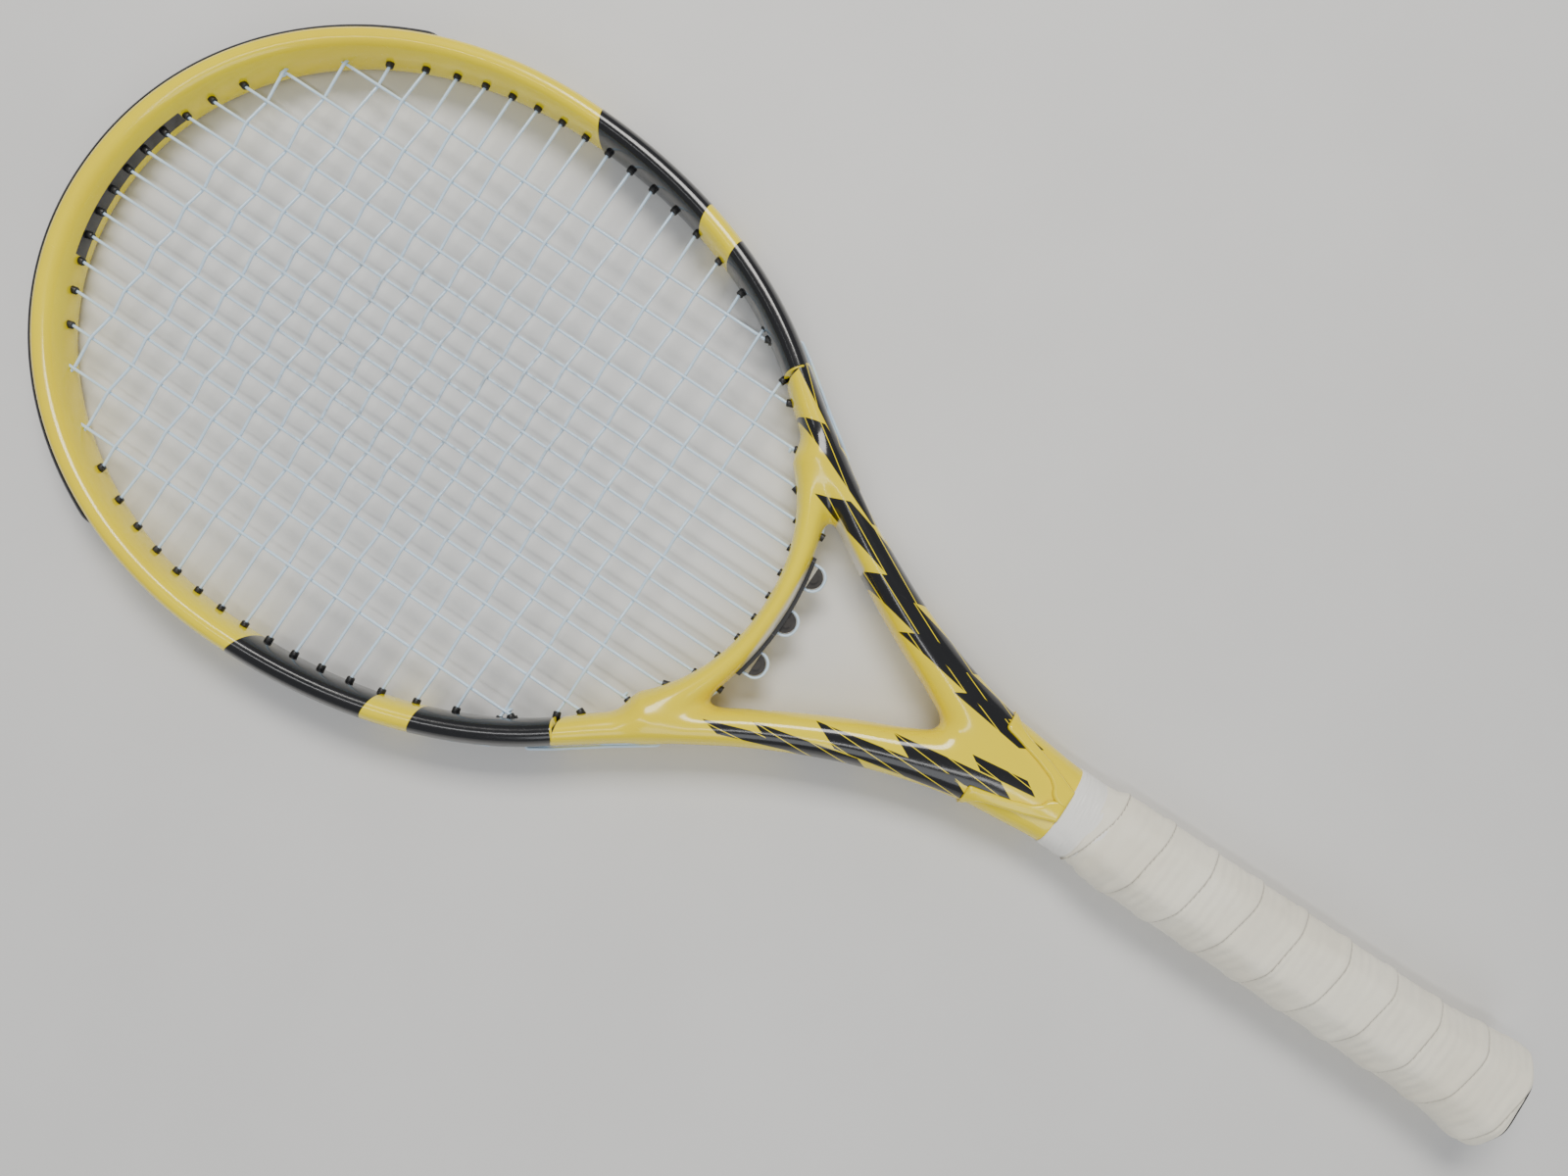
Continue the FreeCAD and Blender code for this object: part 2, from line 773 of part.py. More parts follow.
def cross_string():
    """One string makes all nineteen crosses, over and under the mains."""
    corner = 1.3
    ys = [main_y(k) for k in range(mains_per_side)]
    line = [-y for y in ys[::-1]] + ys
    radius = 6.0
    points = []
    ks = list(range(-crosses_per_side, crosses_per_side + 1))
    start = GROMMETS["cross", ks[0]]
    eight = GROMMETS["throat", 7]
    points.append((V(eight.bend.x, eight.bend.y, -lane) - eight.out * 1.0, 0))
    points.append((eight.at(run_offset, 1, -lane), corner))
    p, n = EDGE[(start.index + eight.index) // 2]
    points.append((V((p + n * run_offset).x, (p + n * run_offset).y, -lane), 4.0))
    points.append((start.at(run_offset, 1), corner))
    side = 1
    for row, k in enumerate(ks):
        g = GROMMETS["cross", k]
        x = cross_x(k)
        points.append((V(g.bend.x, g.bend.y * side, 0), 3.0))
        order = line[::-1] if side > 0 else line
        limit = g.bend.y - string_diameter
        for place, y in enumerate(order):
            if abs(y) > limit:
                continue
            main = line.index(y)
            sign = 1 if (row + main) % 2 else -1
            gap = main_pitch if abs(y) < ys[-2] else ys[-1] - ys[-2]
            points.append((V(x, y, sign * weave_height(gap, radius)), radius))
        side = -side
        points.append((V(g.bend.x, g.bend.y * side, 0), 3.0))
        if row < len(ks) - 1:
            after = GROMMETS["cross", ks[row + 1]]
            for p in outside_run(g, after, side, -lane):
                points.append((p, corner))
    last = GROMMETS["cross", ks[-1]]
    seven = GROMMETS["tip", 6]
    points.append((last.at(run_offset, side), corner))
    p, n = EDGE[(last.index + seven.index) // 2]
    q = p + n * run_offset
    points.append((V(q.x, q.y * side, -lane), 4.0))
    points.append((seven.at(run_offset, side, -lane), corner))
    end = V(seven.bend.x, seven.bend.y * side, -lane) - V(seven.out.x, seven.out.y * side, 0) * 1.0
    points.append((end, 0))
    return string_solid([p for p, r in points], [r for p, r in points])


def make_knots(strings, tube):
    """Four tied ends, as barrels of wound string pressed against the mains and the wall beside them."""
    made = []
    ties = [(GROMMETS["throat", 5], 1), (GROMMETS["throat", 5], -1),
            (GROMMETS["throat", 7], 1), (GROMMETS["tip", 6], -1)]
    for g, side in ties:
        out = V(g.out.x, g.out.y * side, 0)
        start = V(g.bend.x, g.bend.y * side, -lane) - out * 1.0
        ring = Part.makeTorus(1.15, string_radius, start - out * 0.66, out)
        core = Part.makeCylinder(1.2, 1.3, start - out * 1.3, out)
        near = Part.makeBox(12, 12, 12, start - V(6, 6, 6))
        wall = tube if side > 0 else mirrored(tube)
        made.append(ring.fuse(core).cut([other.common(near) for other in strings + [wall]]))
    return Part.makeCompound(made)


# ---------------------------------------------------------------- handle
def octagon(x, half_width, half_height):
    """Grip section: wide flats above and below, narrow flats at the sides."""
    flat_y = half_width * 0.5
    flat_z = half_height * 0.36
    corners = [(flat_y, half_height), (half_width, flat_z), (half_width, -flat_z), (flat_y, -half_height),
               (-flat_y, -half_height), (-half_width, -flat_z), (-half_width, flat_z), (-flat_y, half_height)]
    return Part.makePolygon([V(x, y, z) for y, z in corners + corners[:1]])


def octagon_body(rows):
    """Solid through octagons at several places, each x, half width, half height."""
    return Part.makeLoft([octagon(*row) for row in rows], True, True)


def cap_rows(grow):
    """Outline of the butt cap, grown by the layers wrapped over it."""
    lip_w = cap_lip_half_width - 1.0
    lip_h = cap_lip_half_height - 1.0
    return [(cap_lip_length, lip_w + grow, lip_h + grow),
            (cap_lip_length + 5, lip_w - 0.4 + grow, lip_h - 0.2 + grow),
            (cap_skirt_end - 12, pallet_half_width + 1.2 + grow, pallet_half_height + 0.55 + grow),
            (cap_skirt_end, pallet_half_width + 0.5 + grow, pallet_half_height + 0.45 + grow)]


def pallet_body():
    return octagon_body([(cap_end_wall, pallet_half_width, pallet_half_height),
                         (handle_length - 2, pallet_half_width, pallet_half_height),
                         (handle_length + 2, pallet_half_width - 1.2, pallet_half_height - 2.5)])


def cap_body():
    rows = [(0.0, cap_lip_half_width - 1.2, cap_lip_half_height - 1.2),
            (1.2, cap_lip_half_width, cap_lip_half_height),
            (cap_lip_length - 0.01, cap_lip_half_width, cap_lip_half_height)]
    return octagon_body(rows + cap_rows(0.0))


def base_grip_body():
    grow = base_grip_thickness
    grip = octagon_body(cap_rows(grow) + [
        (cap_skirt_end + 4, pallet_half_width + grow, pallet_half_height + grow),
        (handle_length - 2, pallet_half_width + grow, pallet_half_height + grow),
        (handle_length + 3, pallet_half_width - 0.9 + grow * 0.4, pallet_half_height - 2.2 + grow * 0.4)])
    return grip


def overgrip_body():
    grow = base_grip_thickness + overgrip_thickness
    lip = overgrip_thickness
    rows = [(1.3, cap_lip_half_width + lip, cap_lip_half_height + lip)]
    rows += cap_rows(grow)
    return octagon_body(rows + [
        (cap_skirt_end + 4, pallet_half_width + grow, pallet_half_height + grow),
        (handle_length - 2, pallet_half_width + grow, pallet_half_height + grow),
        (handle_length + 4, pallet_half_width - 0.2, pallet_half_height - 1.9),
        (overgrip_end, 17.4, beam_half_shaft + 0.9)])


def tape_body():
    wide = pallet_half_width - 0.2 + tape_thickness
    tall = pallet_half_height - 1.9 + tape_thickness
    return octagon_body([(tape_start, wide, tall), (overgrip_end + 1, 17.4 + tape_thickness, beam_half_shaft + 1.2),
                         (tape_end, 17.4 + tape_thickness, beam_half_shaft + 1.2)])


def make_staples():
    """Staples through the cap's skirt into the pallets, two above and two below."""
    made = []
    x = cap_skirt_end - 8
    wire = 0.6
    half = 3.0
    for side in (1, -1):
        for y in (-4.5, 4.5):
            top = (pallet_half_height + 0.5) * side
            crown = Part.makeBox(wire, 2 * half, wire, V(x, y - half, top - wire if side > 0 else top))
            parts = [crown]
            for leg_y in (y - half, y + half - wire):
                leg_low = top - 3.5 if side > 0 else top
                parts.append(Part.makeBox(wire, wire, 3.5, V(x, leg_y, leg_low)))
            made.append(parts[0].fuse(parts[1:]))
    return Part.makeCompound(made)


def make_door():
    """Trap door in the butt cap: a plate with two short snap legs behind it."""
    w = door_half_width - door_clearance
    h = door_half_height - door_clearance
    plate = Part.makeBox(door_thickness, 2 * w, 2 * h, V(0, -w, -h))
    edges = [e for e in plate.Edges if abs(e.tangentAt(e.FirstParameter).x) > 0.9]
    plate = plate.makeFillet(1.5, edges)
    parts = []
    for side in (1, -1):
        leg = Part.makeBox(door_leg_length, 4.0, 1.2, V(door_thickness - 0.1, -2.0, side * (h - 0.8) - 0.6))
        parts.append(leg)
    return plate.fuse(parts)


def make_plugs():
    """Foam plugs that close the two tube ends behind the cap, shaped to the tubes' bore."""
    length = 22.0
    start = cap_end_wall + 1.0
    box = Part.makeBox(length, 60, 60, V(start, -30, -30))
    plug = tube_hollow_half().common(box)
    return Part.makeCompound([plug, mirrored(plug)])


def fork_plan():
    """Plan of the moulded fork above the grip: a broad root and two arms."""
    x = tape_end
    right = [(x, 6.5), (x + 28, 15.0), (x + 34.5, 20.0), (x + 36, 23.0), (x + 37.5, 23.0),
             (x + 35.5, 13.5), (x + 20, 9.5), (x + 12, 6.5), (x + 9, 0.0)]
    left = [(px, -py) for px, py in right[-2::-1]]
    outline = right + left
    wire = Part.makePolygon([V(px, py, 0) for px, py in outline + outline[:1]])
    return Part.Face(wire)


def make_fork_cover(handle):
    """Moulded cover above the grip on the upper face, following the frame's surface."""
    grow = fork_cover_thickness
    wires = []
    for (x, y, half, height), direction in even_stations():
        if tape_end - 30 < x < fork_x + 10:
            wires.append(section(x, y, direction, half + grow, half + grow, height + grow, section_power))
    prism = fork_plan().extrude(V(0, 0, 30))
    prism.translate(V(0, 0, 0.2))
    skin = Part.makeLoft(wires, True, False)
    skin = skin.common(Part.makeBox(200, 60, 60, V(tape_end - 20, 0, 0)))
    half = skin.common(prism).cut(handle)
    half = max(half.Solids, key=lambda s: s.Volume)
    return half.fuse(mirrored(half))


# ---------------------------------------------------------------- assembly
def main():
    frame, whole, tube = make_frame()
    handle = whole.common(Part.makeBox(fork_x + 5, 80, 80, V(-5, -40, -40)))
    seat = pallet_body()
    pallets = seat.cut(handle)
    reach = handle_length + 20
    staples = make_staples()
    upper = pallets.common(Part.makeBox(reach, 80, 40, V(-5, -40, 0))).cut(staples)
    lower = pallets.common(Part.makeBox(reach, 80, 40, V(-5, -40, -40))).cut(staples)
    window = Part.makeBox(cap_end_wall + 2, 2 * door_half_width, 2 * door_half_height,
                          V(-1, -door_half_width, -door_half_height))
    cap = cap_body()
    base_grip = base_grip_body()
    overgrip = overgrip_body()
    fork_cover = make_fork_cover(handle)
    bridge_strip = make_bridge_strip()
    mains = main_string()
    crosses = cross_string()
    nodes = {
        "hairpin_frame": frame,
        "throat_bridge": make_bridge(whole),
        "bumper_guard": make_bumper(tube),
        "left_grommet_strip": make_side_strip(1),
        "right_grommet_strip": make_side_strip(-1),
        "bridge_grommet_strip": bridge_strip,
        "corner_grommets": make_corner_grommets().cut(mains),
        "bridge_saddles": make_saddles().cut(bridge_strip),
        "main_string": mains,
        "cross_string": crosses,
        "string_knots": make_knots([mains, crosses], tube),
        "fork_cover_upper": fork_cover,
        "fork_cover_lower": fork_cover.mirror(V(0, 0, 0), V(0, 0, 1)),
        "pallet_upper": upper,
        "pallet_lower": lower,
        "tube_end_plugs": make_plugs(),
        "butt_cap": cap.cut(seat).cut(window).cut(staples),
        "butt_staples": staples,
        "trap_door": make_door(),
        "base_grip": base_grip.cut(cap).cut(seat).cut(handle),
        "overgrip": overgrip.cut(base_grip).cut(cap).cut(seat).cut(handle),
        "finishing_tape": tape_body().cut(overgrip).cut(base_grip).cut(seat).cut(handle),
    }
    os.makedirs("parts", exist_ok=True)
    for name, shape in nodes.items():
        shape.exportStep("parts/" + name + ".step")
        print(name, len(shape.Solids), round(shape.Volume, 1), shape.isValid())


main()
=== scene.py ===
"""Looks of a strung tennis racket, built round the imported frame.

Sizes are in millimetres until a mesh is made.
"""

import math

import bpy
import numpy as np
from mathutils import Matrix, Vector


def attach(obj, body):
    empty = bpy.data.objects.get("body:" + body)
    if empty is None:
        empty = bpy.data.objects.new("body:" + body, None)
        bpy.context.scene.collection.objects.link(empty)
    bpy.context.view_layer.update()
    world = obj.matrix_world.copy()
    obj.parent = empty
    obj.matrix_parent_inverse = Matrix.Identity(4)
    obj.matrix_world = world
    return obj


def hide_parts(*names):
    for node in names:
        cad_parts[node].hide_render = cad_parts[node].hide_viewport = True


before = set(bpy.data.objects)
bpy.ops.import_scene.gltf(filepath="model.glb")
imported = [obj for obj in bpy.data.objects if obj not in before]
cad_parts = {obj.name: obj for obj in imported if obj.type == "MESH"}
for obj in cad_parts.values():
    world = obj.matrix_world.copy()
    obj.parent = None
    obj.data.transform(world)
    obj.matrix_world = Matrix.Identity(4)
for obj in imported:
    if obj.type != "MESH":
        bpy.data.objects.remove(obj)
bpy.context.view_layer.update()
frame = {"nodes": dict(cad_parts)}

MM = 0.001

# ---- sizes shared with the frame
HEAD_CENTRE = 525.0       # x of the head's widest place
HEAD_HALF = 129.2         # half width of the hoop's middle line
TIP_REACH = 152.2         # middle line from the widest place to the tip
THROAT_REACH = 180.2      # and from there to the bridge
SQUARENESS = 2.05         # power of the head's outline
TUBE_HALF = 5.8           # hoop's half width in the string plane
BEAM_TIP = 11.5           # half height of the tube at the tip,
BEAM_SIDE = 13.0          # at the sides of the head,
BEAM_SHAFT = 11.5         # and at the grip
GRIP_TOP = 206.0
FORK_X = 258.0            # where the two shafts part
SHOULDER_X = 392.0
SECTION_POWER = 2.4       # squareness of the tube's section
BRIDGE_POWER = 2.2        # and of the bridge's
GROOVE_HALF = 3.2
GROOVE_DEPTH = 2.0
PAINT_BORDER = 391.0      # x where the shafts' paint ends
MAIN_PITCH = 10.5         # between the middle mains
CROSS_PITCH = 11.8        # between the middle crosses
STRING_BEND = 7.8         # from the hoop's middle line in to a string's bend
STRING_CLEAR = 2.8        # least way from a bend to the last string that it crosses
GRIP_PITCH = 20.7         # from one turn of the overgrip to the next
WINDOW_HALF = (8.0, 5.5)  # the trap door's window, across and up
BUTT_HALF = (20.2, 15.0)  # flat of the butt's end, across and up
BUTT_ROUND = 1.55         # radius of its rim


def full_turn(count):
    """Even angles round a circle."""
    return np.linspace(0, 2 * np.pi, count, endpoint=False)


def smooth_step(low, high, value):
    """0 below low, 1 above high, and a smooth cubic between them."""
    t = np.clip((value - low) / (high - low), 0.0, 1.0)
    return t * t * (3.0 - 2.0 * t)


def signed_power(value, power):
    """|value| ^ power with the sign of value."""
    return np.sign(value) * np.abs(value) ** power


# ---- camera, light and floor
def add_object(name, data):
    """Object at the origin, linked to the scene."""
    thing = bpy.data.objects.new(name, data)
    bpy.context.scene.collection.objects.link(thing)
    return thing


def make_camera():
    """Camera almost straight above the racket, turned so that the butt lies at the lower right."""
    place = np.array([329.3, 17.66, 478.12])
    right = np.array([-0.83187, -0.55496, 0.00373])
    down = np.array([-0.55381, 0.82968, -0.07026])
    forward = np.array([0.03589, -0.06051, -0.99752])
    camera = bpy.data.cameras.new("camera")
    camera.sensor_width = 36.0
    camera.lens = 27.0
    camera.clip_start = 0.01
    holder = add_object("camera", camera)
    turn = Matrix([[right[i], -down[i], -forward[i]] for i in range(3)]).to_4x4()
    holder.matrix_world = Matrix.Translation(Vector(place * MM)) @ turn
    bpy.context.scene.camera = holder


def make_light(name, place, target, size, power, colour=(1.0, 1.0, 1.0)):
    """Rectangular area light aimed at target."""
    light = bpy.data.lights.new(name, "AREA")
    light.shape = "RECTANGLE"
    light.size = size[0]
    light.size_y = size[1]
    light.energy = power
    light.color = colour
    holder = add_object(name, light)
    aim = (Vector(target) - Vector(place)).to_track_quat("-Z", "Y")
    holder.matrix_world = Matrix.Translation(Vector(place)) @ aim.to_matrix().to_4x4()


def make_stage():
    """A pale floor that touches the butt's flare and the head, and soft studio light."""
    butt_x, butt_z = 5.0, -18.3
    head_x, head_z = 545.0, -13.25
    slope = (head_z - butt_z) / (head_x - butt_x)
    reach = 3000.0
    corners = [(x, y, butt_z + slope * (x - butt_x)) for x, y in
               ((-reach, -reach), (reach + 600, -reach), (reach + 600, reach), (-reach, reach))]
    mesh = bpy.data.meshes.new("floor")
    mesh.from_pydata([tuple(v * MM for v in c) for c in corners], [], [(0, 1, 2, 3)])
    floor = add_object("floor", mesh)
    mesh.materials.append(floor_material())
    make_light("key", (0.75, -0.75, 1.25), (0.36, 0.0, 0.0), (0.8, 0.45), 18.0, (1.0, 0.98, 0.94))
    make_light("fill", (-0.35, 0.9, 1.1), (0.36, 0.0, 0.0), (1.0, 0.8), 5.5, (0.94, 0.97, 1.0))
    make_light("strip", (0.36, 0.35, 1.5), (0.36, 0.0, 0.0), (1.6, 0.12), 5.0)
    world = bpy.data.worlds.new("studio")
    bpy.context.scene.world = world
    world.use_nodes = True
    background = world.node_tree.nodes["Background"]
    background.inputs["Color"].default_value = (0.92, 0.95, 1.0, 1.0)
    background.inputs["Strength"].default_value = 0.34


# ---- node helpers
class Nodes:
    """Short-hand for building a node tree."""

    def __init__(self, tree):
        self.tree = tree

    def add(self, kind, **values):
        node = self.tree.nodes.new(kind)
        for key, value in values.items():
            setattr(node, key, value)
        return node

    def link(self, source, target):
        self.tree.links.new(source, target)

    def feed(self, socket, value):
        if isinstance(value, bpy.types.NodeSocket):
            self.link(value, socket)
        else:
            socket.default_value = value

    def math(self, operation, a, b=None, c=None, clamp=False):
        node = self.add("ShaderNodeMath", operation=operation, use_clamp=clamp)
        self.feed(node.inputs[0], a)
        if b is not None:
            self.feed(node.inputs[1], b)
        if c is not None:
            self.feed(node.inputs[2], c)
        return node.outputs[0]

    def times(self, a, b):
        return self.math("MULTIPLY", a, b)

    def plus(self, a, b):
        return self.math("ADD", a, b)

    def ramp(self, value, low, high, to_low=0.0, to_high=1.0):
        node = self.add("ShaderNodeMapRange", interpolation_type="SMOOTHSTEP")
        for name, given in (("Value", value), ("From Min", low), ("From Max", high),
                            ("To Min", to_low), ("To Max", to_high)):
            self.feed(node.inputs[name], given)
        return node.outputs[0]

    def mix(self, factor, a, b):
        node = self.add("ShaderNodeMix", data_type="RGBA")
        self.feed(node.inputs[0], factor)
        self.feed(node.inputs[6], a)
        self.feed(node.inputs[7], b)
        return node.outputs[2]

    def noise(self, vector, scale, detail=3.0, roughness=0.5):
        node = self.add("ShaderNodeTexNoise")
        self.feed(node.inputs["Vector"], vector)
        node.inputs["Scale"].default_value = scale
        node.inputs["Detail"].default_value = detail
        node.inputs["Roughness"].default_value = roughness
        return node.outputs["Fac"]

    def object_place(self):
        return self.add("ShaderNodeTexCoord").outputs["Object"]

    def split(self, vector):
        node = self.add("ShaderNodeSeparateXYZ")
        self.feed(node.inputs[0], vector)
        return node.outputs[0], node.outputs[1], node.outputs[2]

    def bump(self, height, distance, strength=1.0, normal=None):
        node = self.add("ShaderNodeBump")
        node.inputs["Distance"].default_value = distance
        node.inputs["Strength"].default_value = strength
        self.feed(node.inputs["Height"], height)
        if normal is not None:
            self.feed(node.inputs["Normal"], normal)
        return node.outputs["Normal"]

    def finish(self, shader, **sockets):
        """Feeds the shader's sockets by name, with _ for a space."""
        for key, value in sockets.items():
            self.feed(shader.inputs[key.replace("_", " ")], value)


def new_material(name):
    material = bpy.data.materials.new(name)
    material.use_nodes = True
    nodes = Nodes(material.node_tree)
    shader = material.node_tree.nodes["Principled BSDF"]
    return material, nodes, shader


def new_group(name, inputs, outputs):
    """Node group with inputs (name, kind, default) and outputs (name, kind)."""
    tree = bpy.data.node_groups.new(name, "ShaderNodeTree")
    for label, kind, default in inputs:
        socket = tree.interface.new_socket(name=label, in_out="INPUT", socket_type="NodeSocket" + kind)
        if default is not None:
            socket.default_value = default
    for label, kind in outputs:
        tree.interface.new_socket(name=label, in_out="OUTPUT", socket_type="NodeSocket" + kind)
    nodes = Nodes(tree)
    return tree, nodes, nodes.add("NodeGroupInput"), nodes.add("NodeGroupOutput")


def blade_group():
    """Mask of a slanted bar on the frame's faces: 1 inside, with fine pin lines left out of it.

    along = place measured along the bar, across = place measured across it, and the bar is where
    |along + slant * across| < length / 2 and |across| < width / 2.
    """
    tree, n, start, end = new_group(
        "angular_bar",
        [("X", "Float", 0.0), ("Y", "Float", 0.0), ("Centre X", "Float", 0.0), ("Centre Y", "Float", 0.0),
         ("Turn", "Float", 0.0), ("Length", "Float", 0.04), ("Width", "Float", 0.006),
         ("Slant", "Float", 1.0), ("Pin Gap", "Float", 0.0052)],
        [("Mask", "Float")])
    x = n.math("SUBTRACT", start.outputs["X"], start.outputs["Centre X"])
    y = n.math("SUBTRACT", start.outputs["Y"], start.outputs["Centre Y"])
    cosine = n.math("COSINE", start.outputs["Turn"])
    sine = n.math("SINE", start.outputs["Turn"])
    along = n.plus(n.times(x, cosine), n.times(y, sine))
    across = n.math("SUBTRACT", n.times(y, cosine), n.times(x, sine))
    slanted = n.plus(along, n.times(across, start.outputs["Slant"]))
    edge = 0.00012
    half_length = n.times(start.outputs["Length"], 0.5)
    half_width = n.times(start.outputs["Width"], 0.5)
    in_length = n.ramp(n.math("SUBTRACT", half_length, n.math("ABSOLUTE", slanted)), -edge, edge)
    in_width = n.ramp(n.math("SUBTRACT", half_width, n.math("ABSOLUTE", across)), -edge, edge)
    gap = start.outputs["Pin Gap"]
    skew = n.plus(across, n.times(along, 0.22))
    half_gap = n.times(gap, 0.5)
    to_pin = n.math("PINGPONG", n.plus(skew, half_gap), half_gap)
    off_pin = n.ramp(to_pin, 0.00008, 0.00024)
    mask = n.times(n.times(in_length, in_width), off_pin)
    n.link(mask, end.inputs["Mask"])
    return tree


def wear_group():
    """Handling marks: a soft smudge mask, fine scratches and dust, all from Object coordinates."""
    tree, n, start, end = new_group(
        "handling_marks", [("Place", "Vector", None), ("Amount", "Float", 0.5)],
        [("Smudge", "Float"), ("Scratch", "Float"), ("Speck", "Float")])
    place = start.outputs["Place"]
    stretch = n.add("ShaderNodeMapping")
    n.link(place, stretch.inputs["Vector"])
    stretch.inputs["Rotation"].default_value = (0.3, 0.2, 0.6)
    stretch.inputs["Scale"].default_value = (1.0, 34.0, 12.0)
    masks = {"Smudge": n.ramp(n.noise(place, 26.0, 4.0, 0.6), 0.42, 0.72),
             "Scratch": n.ramp(n.noise(stretch.outputs[0], 62.0, 2.0, 0.5), 0.66, 0.74),
             "Speck": n.ramp(n.noise(place, 900.0, 2.0, 0.6), 0.70, 0.78)}
    for name, mask in masks.items():
        n.link(n.times(mask, start.outputs["Amount"]), end.inputs[name])
    return tree


GROUPS = {}


def place_group(n, name, **values):
    """Places a shared group with its own values and returns its outputs."""
    node = n.add("ShaderNodeGroup")
    node.node_tree = GROUPS[name]
    for key, value in values.items():
        n.feed(node.inputs[key.replace("_", " ")], value)
    return node.outputs


# ---- materials
YELLOW = (0.96, 0.77, 0.0, 1.0)
YELLOW_DEEP = (0.93, 0.71, 0.0, 1.0)
YELLOW_SMUDGED = (0.62, 0.44, 0.02, 1.0)
LACQUER_BLACK = (0.008, 0.008, 0.009, 1.0)
DUST = (0.10, 0.10, 0.10, 1.0)
FILLER = (0.78, 0.76, 0.70, 1.0)


def floor_material():
    material, n, shader = new_material("pale_floor")
    place = n.object_place()
    tone = n.ramp(n.noise(place, 9.0, 5.0, 0.6), 0.2, 0.8)
    n.finish(shader, Base_Color=n.mix(tone, (0.70, 0.69, 0.67, 1.0), (0.74, 0.73, 0.71, 1.0)), Roughness=0.62)
    return material


# Bars on the shafts: centre x, centre y, turn in degrees, length, width, slant of the ends
SHAFT_BARS = [
    (233.0, 3.0, 8.0, 24.0, 4.6, 1.2), (250.0, 12.0, 9.0, 46.0, 7.2, 1.4),
    (272.0, 22.6, 12.0, 58.0, 7.6, 1.4), (300.0, 36.6, 14.0, 44.0, 6.6, 1.6),
    (326.0, 46.0, 20.0, 30.0, 4.4, 1.6),
    (246.0, -14.0, -7.0, 34.0, 6.2, -1.4), (268.0, -20.6, -9.0, 50.0, 7.6, -1.4),
    (294.0, -29.0, -12.0, 56.0, 8.6, -1.4), (322.0, -44.0, -15.0, 58.0, 8.6, -1.4),
    (350.0, -63.0, -22.0, 54.0, 7.4, -1.4), (374.0, -81.0, -30.0, 40.0, 5.0, -1.4),
]


def lacquer(name, black_mask):
    """Glossy frame lacquer: yellow, with black where black_mask gives 1."""
    material, n, shader = new_material(name)
    place = n.object_place()
    marks = place_group(n, "handling_marks", Place=place, Amount=0.5)
    tone = n.ramp(n.noise(place, 14.0, 3.0), 0.25, 0.75)
    yellow = n.mix(tone, YELLOW, YELLOW_DEEP)
    yellow = n.mix(n.times(marks["Smudge"], 0.22), yellow, YELLOW_SMUDGED)
    black = n.mix(n.times(marks["Speck"], 0.5), LACQUER_BLACK, DUST)
    colour = n.mix(black_mask(n, place), yellow, black)
    colour = n.mix(chip_mask(n, place), colour, FILLER)
    smudged = n.times(marks["Smudge"], 0.16)
    rough = n.plus(smudged, n.times(marks["Scratch"], 0.20))
    peel = n.bump(n.noise(place, 420.0, 2.0), 0.00006, 0.35)
    n.finish(shader, Base_Color=colour, Roughness=n.plus(rough, 0.17), Normal=peel,
             Coat_Weight=0.35, Coat_Roughness=0.08, IOR=1.5)
    return material


def chip_mask(n, place):
    """Chips in the lacquer down to pale filler, along a short stretch of one shaft's inner edge."""
    x, y, z = n.split(place)
    grain = n.noise(place, 1300.0, 3.0, 0.7)
    # the shaft's inner edge is near the line through (320, 30.8) that rises 0.545 for each unit of x
    to_edge = n.math("SUBTRACT", n.times(n.math("SUBTRACT", x, 0.320), 0.545),
                     n.math("SUBTRACT", y, 0.0308))
    near = n.ramp(n.plus(to_edge, n.times(grain, 0.0012)), 0.00005, 0.00045)
    span = n.times(n.ramp(x, 0.3225, 0.3240), n.ramp(x, 0.3435, 0.3420))
    level = n.ramp(n.math("ABSOLUTE", z), 0.0105, 0.0070)
    return n.times(n.times(near, span), level)


def shaft_mask(n, place):
    """Angular bars on both shafts, and black beyond the paint's border at the shoulders."""
    x, y, _ = n.split(place)
    total = None
    for cx, cy, turn, length, width, slant in SHAFT_BARS:
        bar = place_group(n, "angular_bar", X=x, Y=y, Centre_X=cx * MM, Centre_Y=cy * MM,
                          Turn=math.radians(turn), Length=length * MM, Width=width * MM, Slant=slant)["Mask"]
        total = bar if total is None else n.math("MAXIMUM", total, bar)
    border = n.plus(x, n.times(n.math("SUBTRACT", n.math("ABSOLUTE", y), 0.084), 0.25))
    return n.math("MAXIMUM", total, n.ramp(border, PAINT_BORDER * MM - 0.00015, PAINT_BORDER * MM + 0.00015))


# Black bands on the hoop: x of the first border at the inner and outer wall, and of the last border there
HOOP_BANDS = [(PAINT_BORDER, PAINT_BORDER, 438.0, 441.0), (456.0, 459.5, 513.0, 518.0)]


def hoop_mask(n, place):
    """Two black bands on each side of the head, and a black pad round the inner holes at the tip."""
    guide = n.add("ShaderNodeUVMap", uv_map="guide")
    along, across, _ = n.split(guide.outputs[0])
    x, y, z = n.split(place)

    def past(inner, outer):
        """1 beyond a border that runs from x = inner at the inner wall to x = outer at the outer wall."""
        shift = n.times(n.plus(across, 1.0), 0.5 * (outer - inner) * MM)
        border = n.plus(shift, inner * MM)
        return n.ramp(n.math("SUBTRACT", along, border), -0.00015, 0.00015)

    masks = [n.math("SUBTRACT", past(*band[:2]), past(*band[2:])) for band in HOOP_BANDS]
    bands = n.math("ADD", *masks, clamp=True)
    inner_wall = n.ramp(across, -0.90, -0.94)
    pad = n.times(n.ramp(n.math("ABSOLUTE", y), 0.0362, 0.0358), n.ramp(x, 0.62, 0.63))
    flat = n.ramp(n.math("ABSOLUTE", z), 0.0036, 0.0033)
    pad = n.times(n.times(pad, flat), inner_wall)
    return n.math("MAXIMUM", bands, pad)


def no_mask(n, place):
    return 0.0


